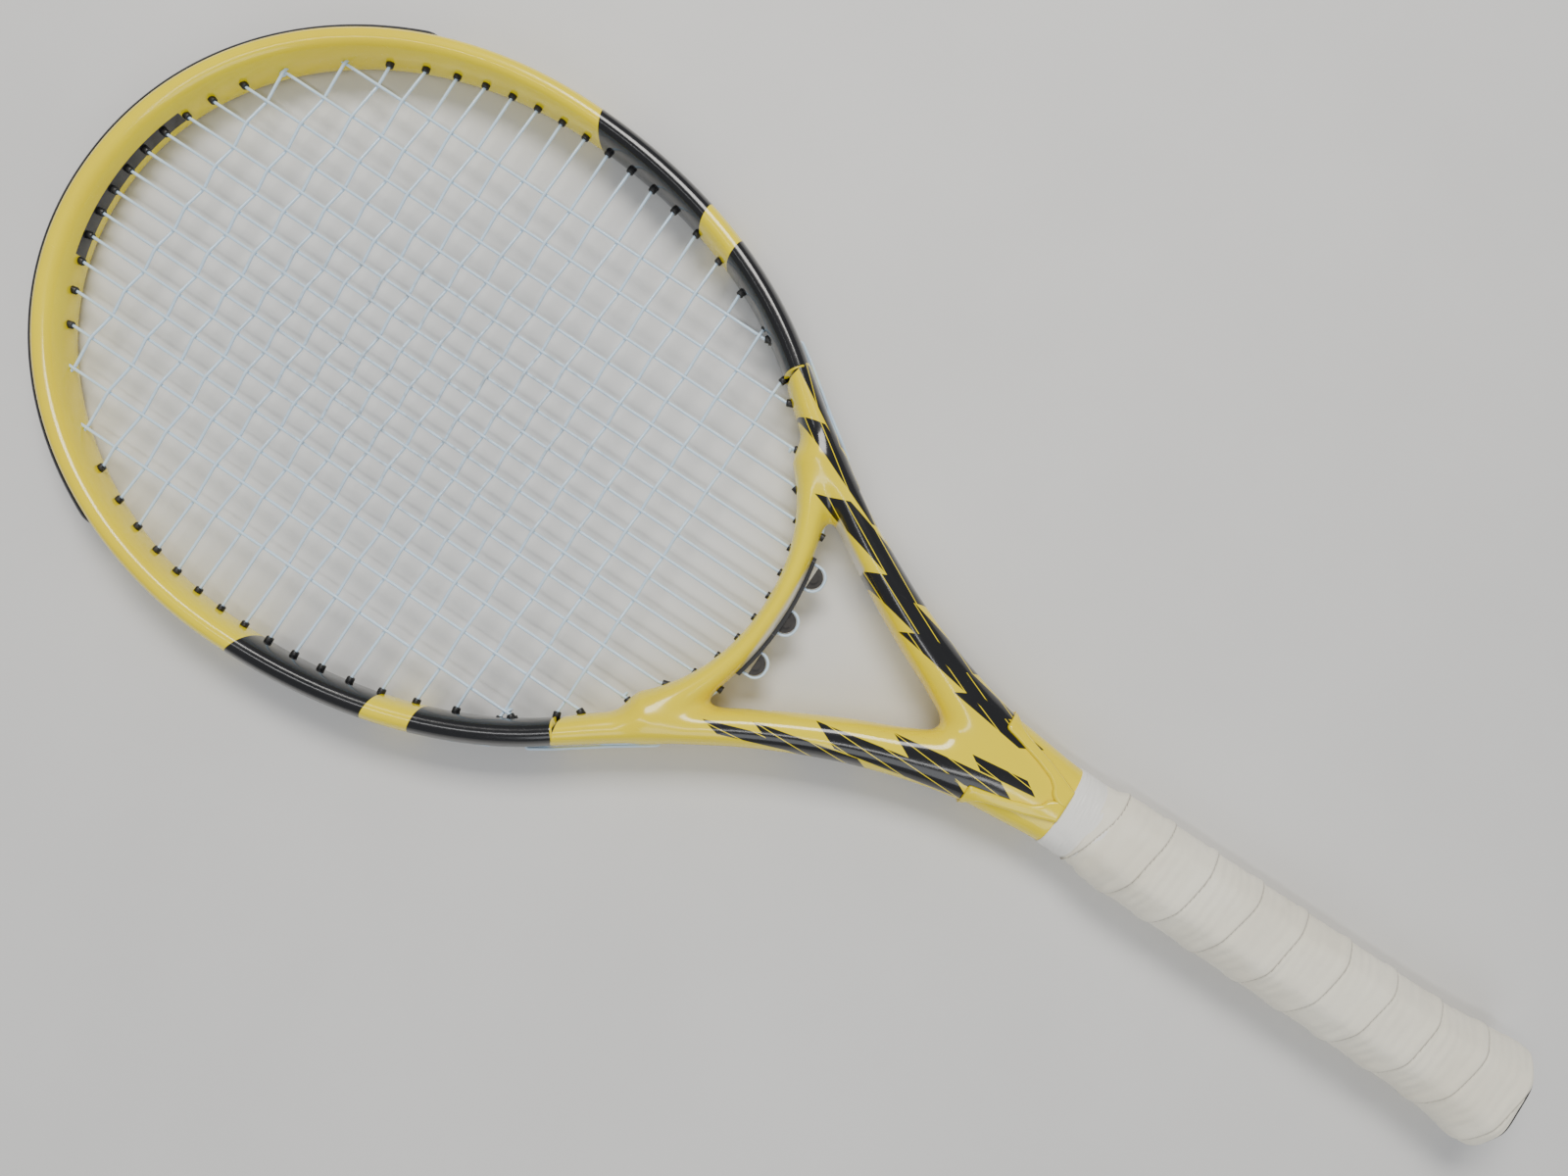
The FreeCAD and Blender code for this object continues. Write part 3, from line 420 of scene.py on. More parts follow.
def nylon_material():
    """Black moulded nylon with pale scuffs."""
    material, n, shader = new_material("black_nylon_scuffed")
    place = n.object_place()
    marks = place_group(n, "handling_marks", Place=place, Amount=1.0)
    handled = n.times(marks["Smudge"], 0.35)
    colour = n.mix(handled, (0.012, 0.012, 0.013, 1.0), (0.05, 0.05, 0.048, 1.0))
    colour = n.mix(n.times(marks["Scratch"], 0.6), colour, (0.20, 0.19, 0.18, 1.0))
    rough = n.plus(n.times(marks["Smudge"], 0.2), 0.36)
    n.finish(shader, Base_Color=colour, Roughness=rough,
             Normal=n.bump(n.noise(place, 1500.0, 2.0), 0.00005, 0.5))
    return material


def smoked_material():
    """Dark smoked plastic, slightly cloudy and glossy."""
    material, n, shader = new_material("smoked_plastic")
    place = n.object_place()
    tone = n.noise(place, 300.0, 2.0)
    colour = n.mix(tone, (0.025, 0.022, 0.020, 1.0), (0.06, 0.055, 0.05, 1.0))
    n.finish(shader, Base_Color=colour, Roughness=0.22, Coat_Weight=0.4)
    return material


def string_material():
    """Pale blue-white string: greyer where the strings rub in the middle of the bed."""
    material, n, shader = new_material("string_pale_blue")
    place = n.object_place()
    x, y, _ = n.split(place)
    dx = n.math("DIVIDE", n.math("SUBTRACT", x, 0.515), 0.10)
    dy = n.math("DIVIDE", y, 0.075)
    out = n.math("SQRT", n.plus(n.times(dx, dx), n.times(dy, dy)))
    middle = n.ramp(out, 1.15, 0.45)
    dirt = n.times(n.ramp(n.noise(place, 210.0, 3.0, 0.7), 0.42, 0.68), middle)
    colour = n.mix(n.times(dirt, 0.55), (0.62, 0.78, 0.92, 1.0), (0.34, 0.36, 0.37, 1.0))
    n.finish(shader, Base_Color=colour, Roughness=n.plus(n.times(dirt, 0.3), 0.26),
             Subsurface_Weight=0.25, Subsurface_Radius=(0.001, 0.001, 0.001), Coat_Weight=0.2,
             Normal=n.bump(n.noise(place, 2600.0, 2.0), 0.00003, 0.4))
    return material


def overgrip_material():
    """Cream overgrip: matte, faintly grained, with painted shade darkening the seams, and greyer where the
    palm sits.
    """
    material, n, shader = new_material("overgrip_cream")
    place = n.object_place()
    guide = n.add("ShaderNodeUVMap", uv_map="guide")
    phase, _, _ = n.split(guide.outputs[0])
    marks = place_group(n, "handling_marks", Place=place, Amount=0.8)
    tone = n.ramp(n.noise(place, 22.0, 4.0, 0.6), 0.3, 0.7)
    base = n.mix(tone, (0.86, 0.80, 0.64, 1.0), (0.94, 0.895, 0.75, 1.0))
    base = n.mix(n.times(marks["Smudge"], 0.20), base, (0.66, 0.61, 0.49, 1.0))
    # painted shade: a thin line at each turn's edge is darkened to deep brown-grey, standing in for the
    # shadow under the raised edge of the turn above it
    painted_seam_shade = n.ramp(phase, 0.06, 0.0)
    base = n.mix(n.times(painted_seam_shade, 0.95), base, (0.30, 0.26, 0.20, 1.0))
    grain = n.noise(place, 1900.0, 3.0, 0.6)
    cells = n.add("ShaderNodeTexVoronoi", feature="F1")
    n.link(place, cells.inputs["Vector"])
    cells.inputs["Scale"].default_value = 1250.0
    pores = n.ramp(cells.outputs["Distance"], 0.0, 0.35)
    height = n.plus(n.times(grain, 0.6), n.times(pores, 0.4))
    fine = n.bump(height, 0.00009, 0.6)
    creases = n.noise(place, 120.0, 4.0, 0.65)
    n.finish(shader, Base_Color=base, Roughness=0.78, Sheen_Weight=0.25, Sheen_Roughness=0.5,
             Normal=n.bump(creases, 0.0008, 0.5, fine))
    return material


def tape_material():
    """White finishing tape with a slight satin sheen and faint creases."""
    material, n, shader = new_material("finishing_tape_white")
    place = n.object_place()
    marks = place_group(n, "handling_marks", Place=place, Amount=0.7)
    base = n.mix(n.times(marks["Smudge"], 0.3), (0.90, 0.88, 0.82, 1.0), (0.70, 0.66, 0.56, 1.0))
    stretch = n.add("ShaderNodeMapping")
    n.link(place, stretch.inputs["Vector"])
    stretch.inputs["Scale"].default_value = (6.0, 1.0, 1.0)
    creases = n.noise(stretch.outputs[0], 60.0, 3.0, 0.6)
    n.finish(shader, Base_Color=base, Roughness=0.46, Normal=n.bump(creases, 0.0005, 0.35))
    return material


def plain_plastic(name, colour, roughness):
    """Plain moulded finish: one colour, a little cloudy, with a fine grain."""
    material, n, shader = new_material(name)
    place = n.object_place()
    tone = n.noise(place, 160.0, 3.0)
    darker = tuple(c * 0.8 for c in colour[:3]) + (1.0,)
    n.finish(shader, Base_Color=n.mix(tone, colour, darker), Roughness=roughness,
             Normal=n.bump(n.noise(place, 1100.0, 2.0), 0.00006, 0.5))
    return material


# ---- mesh helpers
def make_piece(name, vertices, faces, material, uv=None, normals=None):
    """Mesh object from arrays: vertices in millimetres, faces, and an optional guide UV for each vertex."""
    mesh = bpy.data.meshes.new(name)
    rows = faces.tolist() if isinstance(faces, np.ndarray) else faces
    mesh.from_pydata((np.asarray(vertices) * MM).tolist(), [], rows)
    if uv is not None:
        layer = mesh.uv_layers.new(name="guide")
        corner = np.zeros(len(mesh.loops), int)
        mesh.loops.foreach_get("vertex_index", corner)
        layer.data.foreach_set("uv", np.asarray(uv, float)[corner].ravel())
    mesh.polygons.foreach_set("use_smooth", np.ones(len(mesh.polygons), bool))
    if normals is not None:
        mesh.normals_split_custom_set_from_vertices(normals.tolist())
    mesh.materials.append(material)
    mesh.update()
    return add_object(name, mesh)


def ring_faces(rings, points, closed_path=False, flip=False):
    """Quads of a grid of closed rings, one after another along a path."""
    last = rings if closed_path else rings - 1
    i, j = np.meshgrid(np.arange(last), np.arange(points), indexing="ij")
    a = i * points + j
    b = i * points + (j + 1) % points
    c = ((i + 1) % rings) * points + (j + 1) % points
    d = ((i + 1) % rings) * points + j
    quads = np.stack([a, b, c, d], -1).reshape(-1, 4)
    return quads[:, ::-1] if flip else quads


def capped_tube(grid, flip=False):
    """Vertices and faces of a grid (rings, points, 3), with a fan to the ring's middle at both ends."""
    rings, points = grid.shape[:2]
    vertices = grid.reshape(-1, 3)
    faces = ring_faces(rings, points, flip=flip)
    middles = np.stack([grid[0].mean(0), grid[-1].mean(0)])
    first = len(vertices)
    j = np.arange(points)
    k = (j + 1) % points
    low = np.stack([k, j, np.full(points, first)], -1)
    base = (rings - 1) * points
    high = np.stack([base + j, base + k, np.full(points, first + 1)], -1)
    if flip:
        low = low[:, ::-1]
        high = high[:, ::-1]
    tris = [tuple(t) for t in np.concatenate([low, high]).tolist()]
    return np.concatenate([vertices, middles]), [tuple(f) for f in faces.tolist()] + tris


# ---- middle lines
def head_point(angle):
    """Superellipse in two parts: angle 0 is the tip, pi the bridge."""
    c = np.cos(angle)
    s = np.sin(angle)
    reach = np.where(c >= 0, TIP_REACH, THROAT_REACH)
    power = 2 / SQUARENESS
    return HEAD_CENTRE + signed_power(c, power) * reach, signed_power(s, power) * HEAD_HALF


def head_y(x):
    reach = np.where(x >= HEAD_CENTRE, TIP_REACH, THROAT_REACH)
    share = np.minimum(1.0, np.abs(x - HEAD_CENTRE) / reach)
    return HEAD_HALF * (1 - share ** SQUARENESS) ** (1 / SQUARENESS)


def beam_half(x):
    """Half height of the tube: low at the grip, highest from the shoulders to the sides, lower at the tip."""
    rise = np.clip((x - GRIP_TOP) / (HEAD_CENTRE - 130 - GRIP_TOP), 0, 1)
    fall = np.clip((x - HEAD_CENTRE) / TIP_REACH, 0, None)
    risen = BEAM_SHAFT + (BEAM_SIDE - BEAM_SHAFT) * np.sin(rise * np.pi / 2)
    return risen + (BEAM_TIP - BEAM_SIDE) * fall ** 2


def side_line(count=900):
    """Middle line, half width and half height of one side, from inside the grip to the tip.

    Each row is x, y and half width. shares are parts of the run and rise from the fork to the shoulder.
    """
    fork_y = 12.5
    run = SHOULDER_X - FORK_X
    rise = float(head_y(SHOULDER_X)) - fork_y
    rows = [(188.0, 0.0, 16.6), (GRIP_TOP, 0.0, 16.9), (FORK_X - 36, 0.4, 17.9), (FORK_X - 18, 4.0, 16.6),
            (FORK_X - 6, 9.6, 13.6)]
    shares = [(0.0, 0.0, 11.9), (0.09, 0.065, 10.2), (0.24, 0.17, 9.1), (0.39, 0.295, 8.3),
              (0.54, 0.437, 7.8), (0.66, 0.568, 7.4), (0.77, 0.695, 7.0), (0.89, 0.85, 6.4)]
    rows += [(FORK_X + a * run, fork_y + b * rise, w) for a, b, w in shares]
    start = math.pi - math.acos(((HEAD_CENTRE - SHOULDER_X) / THROAT_REACH) ** (SQUARENESS / 2))
    for angle in np.linspace(start, 0.0, 19):
        x, y = head_point(angle)
        rows.append((float(x), max(0.0, float(y)), TUBE_HALF))
    rows = np.array(rows)
    place = np.concatenate([[0.0], np.cumsum(np.hypot(*np.diff(rows[:, :2], axis=0).T))])
    slopes = np.gradient(rows, place, axis=0)
    slopes[0] = (1, 0, 0)
    slopes[-1] = (0, -1, 0)
    s = np.linspace(0, place[-1], count)
    i = np.clip(np.searchsorted(place, s) - 1, 0, len(rows) - 2)
    span = (place[i + 1] - place[i])[:, None]
    t = ((s - place[i])[:, None]) / span
    p, q = rows[i], rows[i + 1]
    a, b = slopes[i] * span, slopes[i + 1] * span
    line = p + t * (a + t * (3 * (q - p) - 2 * a - b + t * (a + b - 2 * (q - p))))
    return line[:, :2], line[:, 2], beam_half(line[:, 0])


def bridge_line(count=161, end=60.0):
    """Middle line of the bridge between the shoulders, its half width and half height."""
    y = np.linspace(-end, end, count)
    x = HEAD_CENTRE - THROAT_REACH * (1 - np.abs(y / HEAD_HALF) ** SQUARENESS) ** (1 / SQUARENESS)
    half = 4.85 + 1.6 * (np.abs(y) / 45) ** 3
    return np.stack([x, y], -1), half, 10.5 + (BEAM_SIDE - 10.5) * (np.abs(y) / end) ** 2


# ---- throat in one skin
def tube_field(plan, line, half, height, levels, power):
    """Signed distance, roughly, to a rounded tube along a flat line, over plan points and height levels.

    g = (|across / half| ^ power + |z / height| ^ power) ^ (1 / power) is 1 on the tube's skin, and the
    distance is taken along the ray from the middle line: r * (1 - 1 / g).
    """
    nearest = np.zeros(len(plan), int)
    for first in range(0, len(plan), 4000):
        block = plan[first:first + 4000]
        gap = ((block[:, None, :] - line[None]) ** 2).sum(-1)
        nearest[first:first + 4000] = gap.argmin(1)
    step = np.gradient(line, axis=0)
    step /= np.linalg.norm(step, axis=1)[:, None]
    away = plan - line[nearest]
    tangent = step[nearest]
    across = np.abs(away[:, 0] * -tangent[:, 1] + away[:, 1] * tangent[:, 0])
    past = np.abs((away * tangent).sum(1))
    across = np.hypot(across, np.where(past > 1.5, past, 0.0))
    a = half[nearest][:, None]
    b = height[nearest][:, None]
    d = across[:, None] + 1e-6
    z = levels[None]
    g = ((d / a) ** power + (np.abs(z) / b) ** power) ** (1 / power)
    return np.hypot(d, z) * (1 - 1 / g)


def soft_union(a, b, k):
    """Smooth minimum: the two skins meet in a fillet of about k."""
    h = np.clip(k - np.abs(a - b), 0, None) / np.maximum(k, 1e-6)
    return np.minimum(a, b) - h * h * k * 0.25


class ThroatField:
    """The throat's skin as the zero level of a field over plan points and height levels."""

    low_x, high_x = 205.3, PAINT_BORDER + 0.6

    def __init__(self):
        self.line, self.half, self.height = side_line()
        self.bridge = bridge_line()

    def at(self, plan, levels):
        """Field at plan points (N, 2) and height levels (M), as an array (N, M)."""
        plan = np.stack([plan[:, 0], np.abs(plan[:, 1])], -1)
        left = tube_field(plan, self.line, self.half, self.height, levels, SECTION_POWER)
        mirror = self.line * np.array([1.0, -1.0])
        right = tube_field(plan, mirror, self.half, self.height, levels, SECTION_POWER)
        crotch = 7.0 * smooth_step(238.0, 262.0, plan[:, :1])
        both = soft_union(left, right, crotch)
        bridge = tube_field(plan, *self.bridge, levels, BRIDGE_POWER)
        whole = soft_union(both, bridge, 9.0)
        ends = np.maximum(self.low_x - plan[:, :1], plan[:, :1] - self.high_x)
        return np.maximum(whole, ends)


def surface_net(field, origin, step):
    """Closed skin of the zero level of a field on a grid: one vertex in each cell that the skin crosses."""
    n = np.array(field.shape) - 1
    total = np.zeros(tuple(n) + (3,))
    count = np.zeros(tuple(n))
    for axis in range(3):
        others = [o for o in range(3) if o != axis]
        for u in (0, 1):
            for v in (0, 1):
                low = [0, 0, 0]
                low[others[0]] = u
                low[others[1]] = v
                high = list(low)
                high[axis] = 1
                a = field[tuple(slice(o, o + m) for o, m in zip(low, n))]
                b = field[tuple(slice(o, o + m) for o, m in zip(high, n))]
                cut = (a < 0) != (b < 0)
                share = np.where(cut, a / np.where(cut, a - b, 1.0), 0.0)
                for o in others:
                    total[..., o] += np.where(cut, low[o], 0.0)
                total[..., axis] += share
                count += cut
    used = count > 0
    ids = np.full(tuple(n), -1)
    ids[used] = np.arange(used.sum())
    cells = np.argwhere(used)
    vertices = origin + step * (cells + total[used] / count[used][:, None])
    quads = []
    for axis in range(3):
        o1, o2 = [(axis + 1) % 3, (axis + 2) % 3]
        low = [slice(None)] * 3
        high = [slice(None)] * 3
        low[axis] = slice(0, -1)
        high[axis] = slice(1, None)
        a = field[tuple(low)]
        b = field[tuple(high)]
        cut = np.argwhere((a < 0) != (b < 0))
        keep = (cut[:, o1] > 0) & (cut[:, o2] > 0) & (cut[:, o1] < n[o1]) & (cut[:, o2] < n[o2])
        cut = cut[keep]
        rising = a[tuple(cut.T)] < 0
        corners = []
        for s1, s2 in ((-1, -1), (0, -1), (0, 0), (-1, 0)):
            cell = cut.copy()
            cell[:, o1] += s1
            cell[:, o2] += s2
            corners.append(ids[tuple(cell.T)])
        quad = np.stack(corners, -1)
        quads.append(np.where(rising[:, None], quad, quad[:, ::-1]))
    return vertices, np.concatenate(quads)


def make_throat(material):
    """Shaft root, shafts, shoulders and bridge in one skin, pulled onto the field's zero level."""
    step = 1.1
    field = ThroatField()
    xs = np.arange(field.low_x - 1.5 * step, field.high_x + 1.6 * step, step)
    ys = np.arange(-103.4, 103.5, step)
    zs = np.arange(-15.4, 15.5, step)
    gx, gy = np.meshgrid(xs, ys, indexing="ij")
    plan = np.stack([gx.ravel(), gy.ravel()], -1)
    table = field.at(plan, zs).reshape(len(xs), len(ys), len(zs))
    corner = np.array([xs[0], ys[0], zs[0]])
    vertices, quads = surface_net(table, corner, step)

    def value(points):
        """Field at free points, by trilinear reading of the table."""
        g = (points - corner) / step
        i = np.clip(np.floor(g).astype(int), 0, np.array(table.shape) - 2)
        f = g - i
        result = 0
        for dx in (0, 1):
            for dy in (0, 1):
                for dz in (0, 1):
                    w = (np.abs(1 - dx - f[:, 0]) * np.abs(1 - dy - f[:, 1]) * np.abs(1 - dz - f[:, 2]))
                    result = result + w * table[i[:, 0] + dx, i[:, 1] + dy, i[:, 2] + dz]
        return result

    def gradient(points):
        """Slope of the field by central differences over one step."""
        rises = [value(points + shift) - value(points - shift) for shift in step * np.eye(3)]
        return np.stack(rises, -1) / (2 * step)

    for _ in range(3):
        slope = gradient(vertices)
        size = np.maximum((slope ** 2).sum(1), 1e-3)
        vertices = vertices - slope * np.clip(value(vertices) / size, -0.6, 0.6)[:, None]
    normals = gradient(vertices)
    normals /= np.maximum(np.linalg.norm(normals, axis=1), 1e-9)[:, None]
    return make_piece("throat_and_bridge", vertices, quads, material, normals=normals)


# ---- hoop
def hoop_path(count, start_x):
    """Points, outward directions and half heights of the hoop, from shoulder to shoulder round the tip."""
    limit = math.pi - math.acos(((HEAD_CENTRE - start_x) / THROAT_REACH) ** (SQUARENESS / 2))
    fine = np.linspace(-limit, limit, 20 * count)
    x, y = head_point(fine)
    place = np.concatenate([[0], np.cumsum(np.hypot(np.diff(x), np.diff(y)))])
    even = np.interp(np.linspace(0, place[-1], count), place, fine)
    x, y = head_point(even)
    line = np.stack([x, y], -1)
    tangent = np.gradient(line, axis=0)
    tangent /= np.linalg.norm(tangent, axis=1)[:, None]
    outward = np.stack([tangent[:, 1], -tangent[:, 0]], -1)
    flip = np.sign((outward * (line - [HEAD_CENTRE, 0])).sum(1))
    return line, outward * flip[:, None], beam_half(x)


def carry(line, outward, across, up):
    """Carries a profile along a flat path: across (N, M) along outward, up (N, M) along Z."""
    xy = line[:, None, :] + outward[:, None, :] * across[..., None]
    return np.concatenate([xy, up[..., None]], -1)


def make_hoop(material):
    """Hoop tube with a channel round its outer side; the guide UV holds x and the across place."""
    count = 640
    line, outward, height = hoop_path(count, PAINT_BORDER - 0.6)
    body = 52
    angle = full_turn(body)
    across = signed_power(np.cos(angle), 2 / SECTION_POWER)
    up = signed_power(np.sin(angle), 2 / SECTION_POWER)
    limit = GROOVE_HALF / BEAM_SIDE
    keep = ~((across > 0) & (np.abs(up) < limit + 0.04))
    rim = (1 - limit ** SECTION_POWER) ** (1 / SECTION_POWER)
    floor = rim - GROOVE_DEPTH / TUBE_HALF
    lip = 0.03
    paint = 0.02
    wall_across = np.array([floor, floor + 0.03, rim - 0.09, rim - 0.02, rim])
    wall_up = np.array([limit - 0.012, limit, limit, limit + 0.006, limit + lip])
    across = np.concatenate([across[keep], wall_across[::-1], wall_across])
    up = np.concatenate([up[keep], -wall_up[::-1], wall_up])
    half = TUBE_HALF + paint
    points = carry(line, outward, np.tile(across * half, (count, 1)), up[None] * height[:, None])
    guide = np.stack([np.repeat(line[:, 0] * MM, len(across)), np.tile(across, count)], -1)
    vertices, faces = capped_tube(points, flip=True)
    guide = np.concatenate([guide, [[line[0, 0] * MM, 0], [line[-1, 0] * MM, 0]]])
    return make_piece("head_hoop", vertices, faces, material, uv=guide)


def make_bumper(material):
    """Guard round the tip: a rounded band over the tube's outer side with a channel for the strings.

    upper and rise give the section above the string plane: height, and how far it stands off the tube's wall.
    """
    count = 420
    half_angle = 57.0
    taper = 0.035
    line, outward, _ = hoop_path(2400, 400.0)
    angle = np.degrees(np.abs(np.arctan2(line[:, 1], line[:, 0] - (HEAD_CENTRE - 10))))
    chosen = np.flatnonzero(angle < half_angle)
    chosen = chosen[np.linspace(0, len(chosen) - 1, count).astype(int)]
    line, outward = line[chosen], outward[chosen]
    travel = np.minimum(np.arange(count), np.arange(count)[::-1]) / (count - 1.0) * 2
    ends = np.sqrt(np.clip(1 - (1 - np.clip(travel / taper, 0, 1)) ** 2, 0, 1))
    upper = np.array([1.0, 1.9, 1.9, 1.95, 2.15, 2.7, 3.8, 5.0, 6.2, 7.2, 8.0, 8.3])
    rise = np.array([-1.15, -1.1, 0.6, 1.3, 1.8, 1.98, 2.0, 1.98, 1.85, 1.5, 0.9, 0.1])
    z = np.concatenate([-upper[::-1], upper])
    rise = np.concatenate([rise[::-1], rise])
    inner_z = np.linspace(7.8, -7.8, 9)
    wall = 1.5

    def skin(level):
        """The tube's outer wall at a height, with the half height that it has near the tip."""
        return TUBE_HALF * (1 - np.abs(level / 12.0) ** SECTION_POWER) ** (1 / SECTION_POWER)

    inner = skin(inner_z) - wall
    channel = rise < -0.5
    outer = skin(z)[None] + np.where(channel, rise, rise * ends[:, None] - 0.1 * (1 - ends[:, None]))
    across = np.concatenate([outer, np.tile(inner, (count, 1))], 1)
    up = np.tile(np.concatenate([z, inner_z]), (count, 1)) * (0.9 + 0.1 * ends[:, None])
    vertices, faces = capped_tube(carry(line, outward, across, up), flip=True)
    return make_piece("tip_bumper", vertices, faces, material)


# ---- grommet sleeves inside the hoop
def main_place(k):
    """Way of main k from the middle: even near it, and opening towards the side."""
    place = k + 0.5
    last = 7.5
    reach = HEAD_HALF - 36.4
    return MAIN_PITCH * place + (reach - last * MAIN_PITCH) * (place / last) ** 4.5


def cross_place(k):
    """x of cross k, counted from the middle one: even near it, and opening towards the tip and the throat."""
    last = 9.0
    middle = HEAD_CENTRE - 4.6
    low = middle - (HEAD_CENTRE - THROAT_REACH + 50.0)
    high = HEAD_CENTRE + TIP_REACH - 36.1 - middle
    below = middle - (CROSS_PITCH * -k + (low - last * CROSS_PITCH) * np.abs(k / last) ** 3.4)
    above = middle + CROSS_PITCH * k + (high - last * CROSS_PITCH) * np.abs(k / last) ** 6
    return np.where(k < 0, below, above)


def hoop_normal(x, y):
    """Outward direction square to the hoop's middle line."""
    reach = np.where(x >= HEAD_CENTRE, TIP_REACH, THROAT_REACH)
    gx = signed_power((x - HEAD_CENTRE) / reach, SQUARENESS - 1) / reach
    gy = signed_power(y / HEAD_HALF, SQUARENESS - 1) / HEAD_HALF
    return np.stack([gx, gy], -1) / np.hypot(gx, gy)[:, None]


def sleeve_seats():
    """Where each string turns in the hoop, and the direction of its hole.

    The string's own line meets the hoop's middle line. Its bend lies inside, measured square to the wall, and
    beyond the last string that it crosses. The hole runs halfway between that line and the square way out.
    """
    mains = main_place(np.arange(8.0))
    crosses = cross_place(np.arange(-9.0, 10.0))
    side = np.stack([crosses, head_y(crosses)], -1)
    share = (1 - (mains / HEAD_HALF) ** SQUARENESS) ** (1 / SQUARENESS)
    tip = np.stack([HEAD_CENTRE + TIP_REACH * share, mains], -1)
    throat = np.stack([HEAD_CENTRE - THROAT_REACH * share, mains], -1)[5:]
    points = np.concatenate([side, tip, throat])
    ways = [0.0, 1.0], [1.0, 0.0], [-1.0, 0.0]
    steps = np.repeat(ways, [len(side), len(tip), len(throat)], axis=0)
    normal = hoop_normal(points[:, 0], points[:, 1])
    facing = np.maximum(0.35, (normal * steps).sum(1))
    bend = points - steps * (STRING_BEND / facing)[:, None]
    along = (bend * steps).sum(1)
    far = 1e6
    padded = np.pad(mains, (0, len(crosses) - len(mains)), constant_values=far)
    others = np.where(steps[:, 1:] > 0, padded[None], crosses[None] * steps[:, :1])
    gap = along[:, None] - others
    shift = np.where(np.abs(gap) < STRING_CLEAR, STRING_CLEAR - gap, 0.0).max(1)
    bend = bend + steps * shift[:, None]
    out = hoop_normal(bend[:, 0], bend[:, 1]) + steps
    out /= np.linalg.norm(out, axis=1)[:, None]
    mirror = np.array([1.0, -1.0])
    return np.concatenate([bend, bend * mirror]), np.concatenate([out, out * mirror])


def make_sleeves(material):
    """Short nylon sleeves at the hoop's inner wall: a ring profile turned about each hole's line."""
    bend, out = sleeve_seats()
    along = np.array([4.0, 0.9, 0.15, -0.1, -0.12, 0.0, 0.9, 4.0])
    radius = np.array([1.66, 1.66, 1.6, 1.38, 1.12, 0.86, 0.78, 0.78])
    around = 16
    angle = full_turn(around)
    centre = bend[:, None] + out[:, None] * along[None, :, None]
    across = np.stack([-out[:, 1], out[:, 0]], -1)
    wide = radius[:, None] * np.cos(angle)
    plan = centre[:, :, None] + across[:, None, None] * wide[None, :, :, None]
    height = np.broadcast_to(radius[:, None] * np.sin(angle), plan.shape[:3])
    vertices = np.concatenate([plan, height[..., None]], -1)
    one = ring_faces(len(along), around, closed_path=True, flip=True)
    size = len(along) * around
    faces = (one[None] + size * np.arange(len(bend))[:, None, None]).reshape(-1, 4)
    return make_piece("grommet_sleeves", vertices.reshape(-1, 3), faces, material)


# ---- moulded fork above the grip
def make_fork(name, side, material):
    """Moulded fork: a raised sheet between its outer and inner outline, on the shaft root's surface.

    u runs from the tape to the prong's end, and v from the outer to the inner outline. The height is that of
    the shaft's skin plus a quarter-round edge.
    """
    field = ThroatField()
    rows = 72
    lanes = 26
    u = np.linspace(0, 1, rows)
    x_out = np.array([206.3, 219.0, 233.0, 237.0, 239.5, 240.8])
    y_out = np.array([6.3, 11.0, 15.0, 17.0, 19.6, 21.2])
    x_in = np.array([212.5, 213.6, 217.0, 225.0, 236.0, 241.6])
    y_in = np.array([0.0, 4.2, 7.0, 10.0, 12.8, 14.0])
    at = np.array([0.0, 0.3, 0.62, 0.78, 0.92, 1.0])
    at_in = np.array([0.0, 0.12, 0.28, 0.55, 0.85, 1.0])
    outer = np.stack([np.interp(u, at, x_out), np.interp(u, at, y_out)], -1)
    inner = np.stack([np.interp(u, at_in, x_in), np.interp(u, at_in, y_in)], -1)
    first = u < 0.05
    inner[first] = np.stack([np.interp(u[first], [0, 0.05], [206.3, 212.5]), 0 * u[first]], -1)
    for _ in range(3):
        outer[1:-1] = (outer[:-2] + 2 * outer[1:-1] + outer[2:]) / 4
        inner[1:-1] = (inner[:-2] + 2 * inner[1:-1] + inner[2:]) / 4
    inner[:, 1] = np.maximum(inner[:, 1], 0.0)
    v = np.linspace(0, 1, lanes)
    plan = outer[:, None] * (1 - v[None, :, None]) + inner[:, None] * v[None, :, None]
    flat = plan.reshape(-1, 2)
    levels = np.linspace(0, 15, 61)
    values = field.at(flat, levels)
    top = np.zeros(len(flat))
    for i in range(len(levels) - 1):
        a, b = values[:, i], values[:, i + 1]
        cut = (a < 0) & (b >= 0)
        top = np.where(cut, levels[i] + (levels[i + 1] - levels[i]) * a / np.minimum(a - b, -1e-9), top)
    width = np.linalg.norm(outer - inner, axis=1)[:, None]
    to_outer = v[None] * width
    to_inner = np.where(inner[:, 1:2] > 0.3, (1 - v[None]) * width, 9.0)
    to_end = (1 - u[:, None]) * 45.0
    rim = np.minimum(np.minimum(to_outer, to_inner), to_end)
    edge = 0.9
    proud = 0.85
    sink = 0.12
    crown = np.sqrt(np.clip(1 - (1 - np.clip(rim / edge, 0, 1)) ** 2, 0, 1))
    height = top.reshape(rows, lanes) + proud * crown - sink
    right = np.stack([plan[..., 0], plan[..., 1], height * side], -1).reshape(-1, 3)
    left = right * np.array([1.0, -1.0, 1.0])
    i, j = np.meshgrid(np.arange(rows - 1), np.arange(lanes - 1), indexing="ij")
    a = i * lanes + j
    quads = np.stack([a, a + lanes, a + lanes + 1, a + 1], -1).reshape(-1, 4)
    if side < 0:
        quads = quads[:, ::-1]
    faces = np.concatenate([quads, quads[:, ::-1] + len(right)])
    piece = make_piece(name, np.concatenate([right, left]), faces, material)
    solid = piece.modifiers.new("thickness", "SOLIDIFY")
    solid.thickness = 0.9 * MM
    solid.offset = -1.0
    return piece


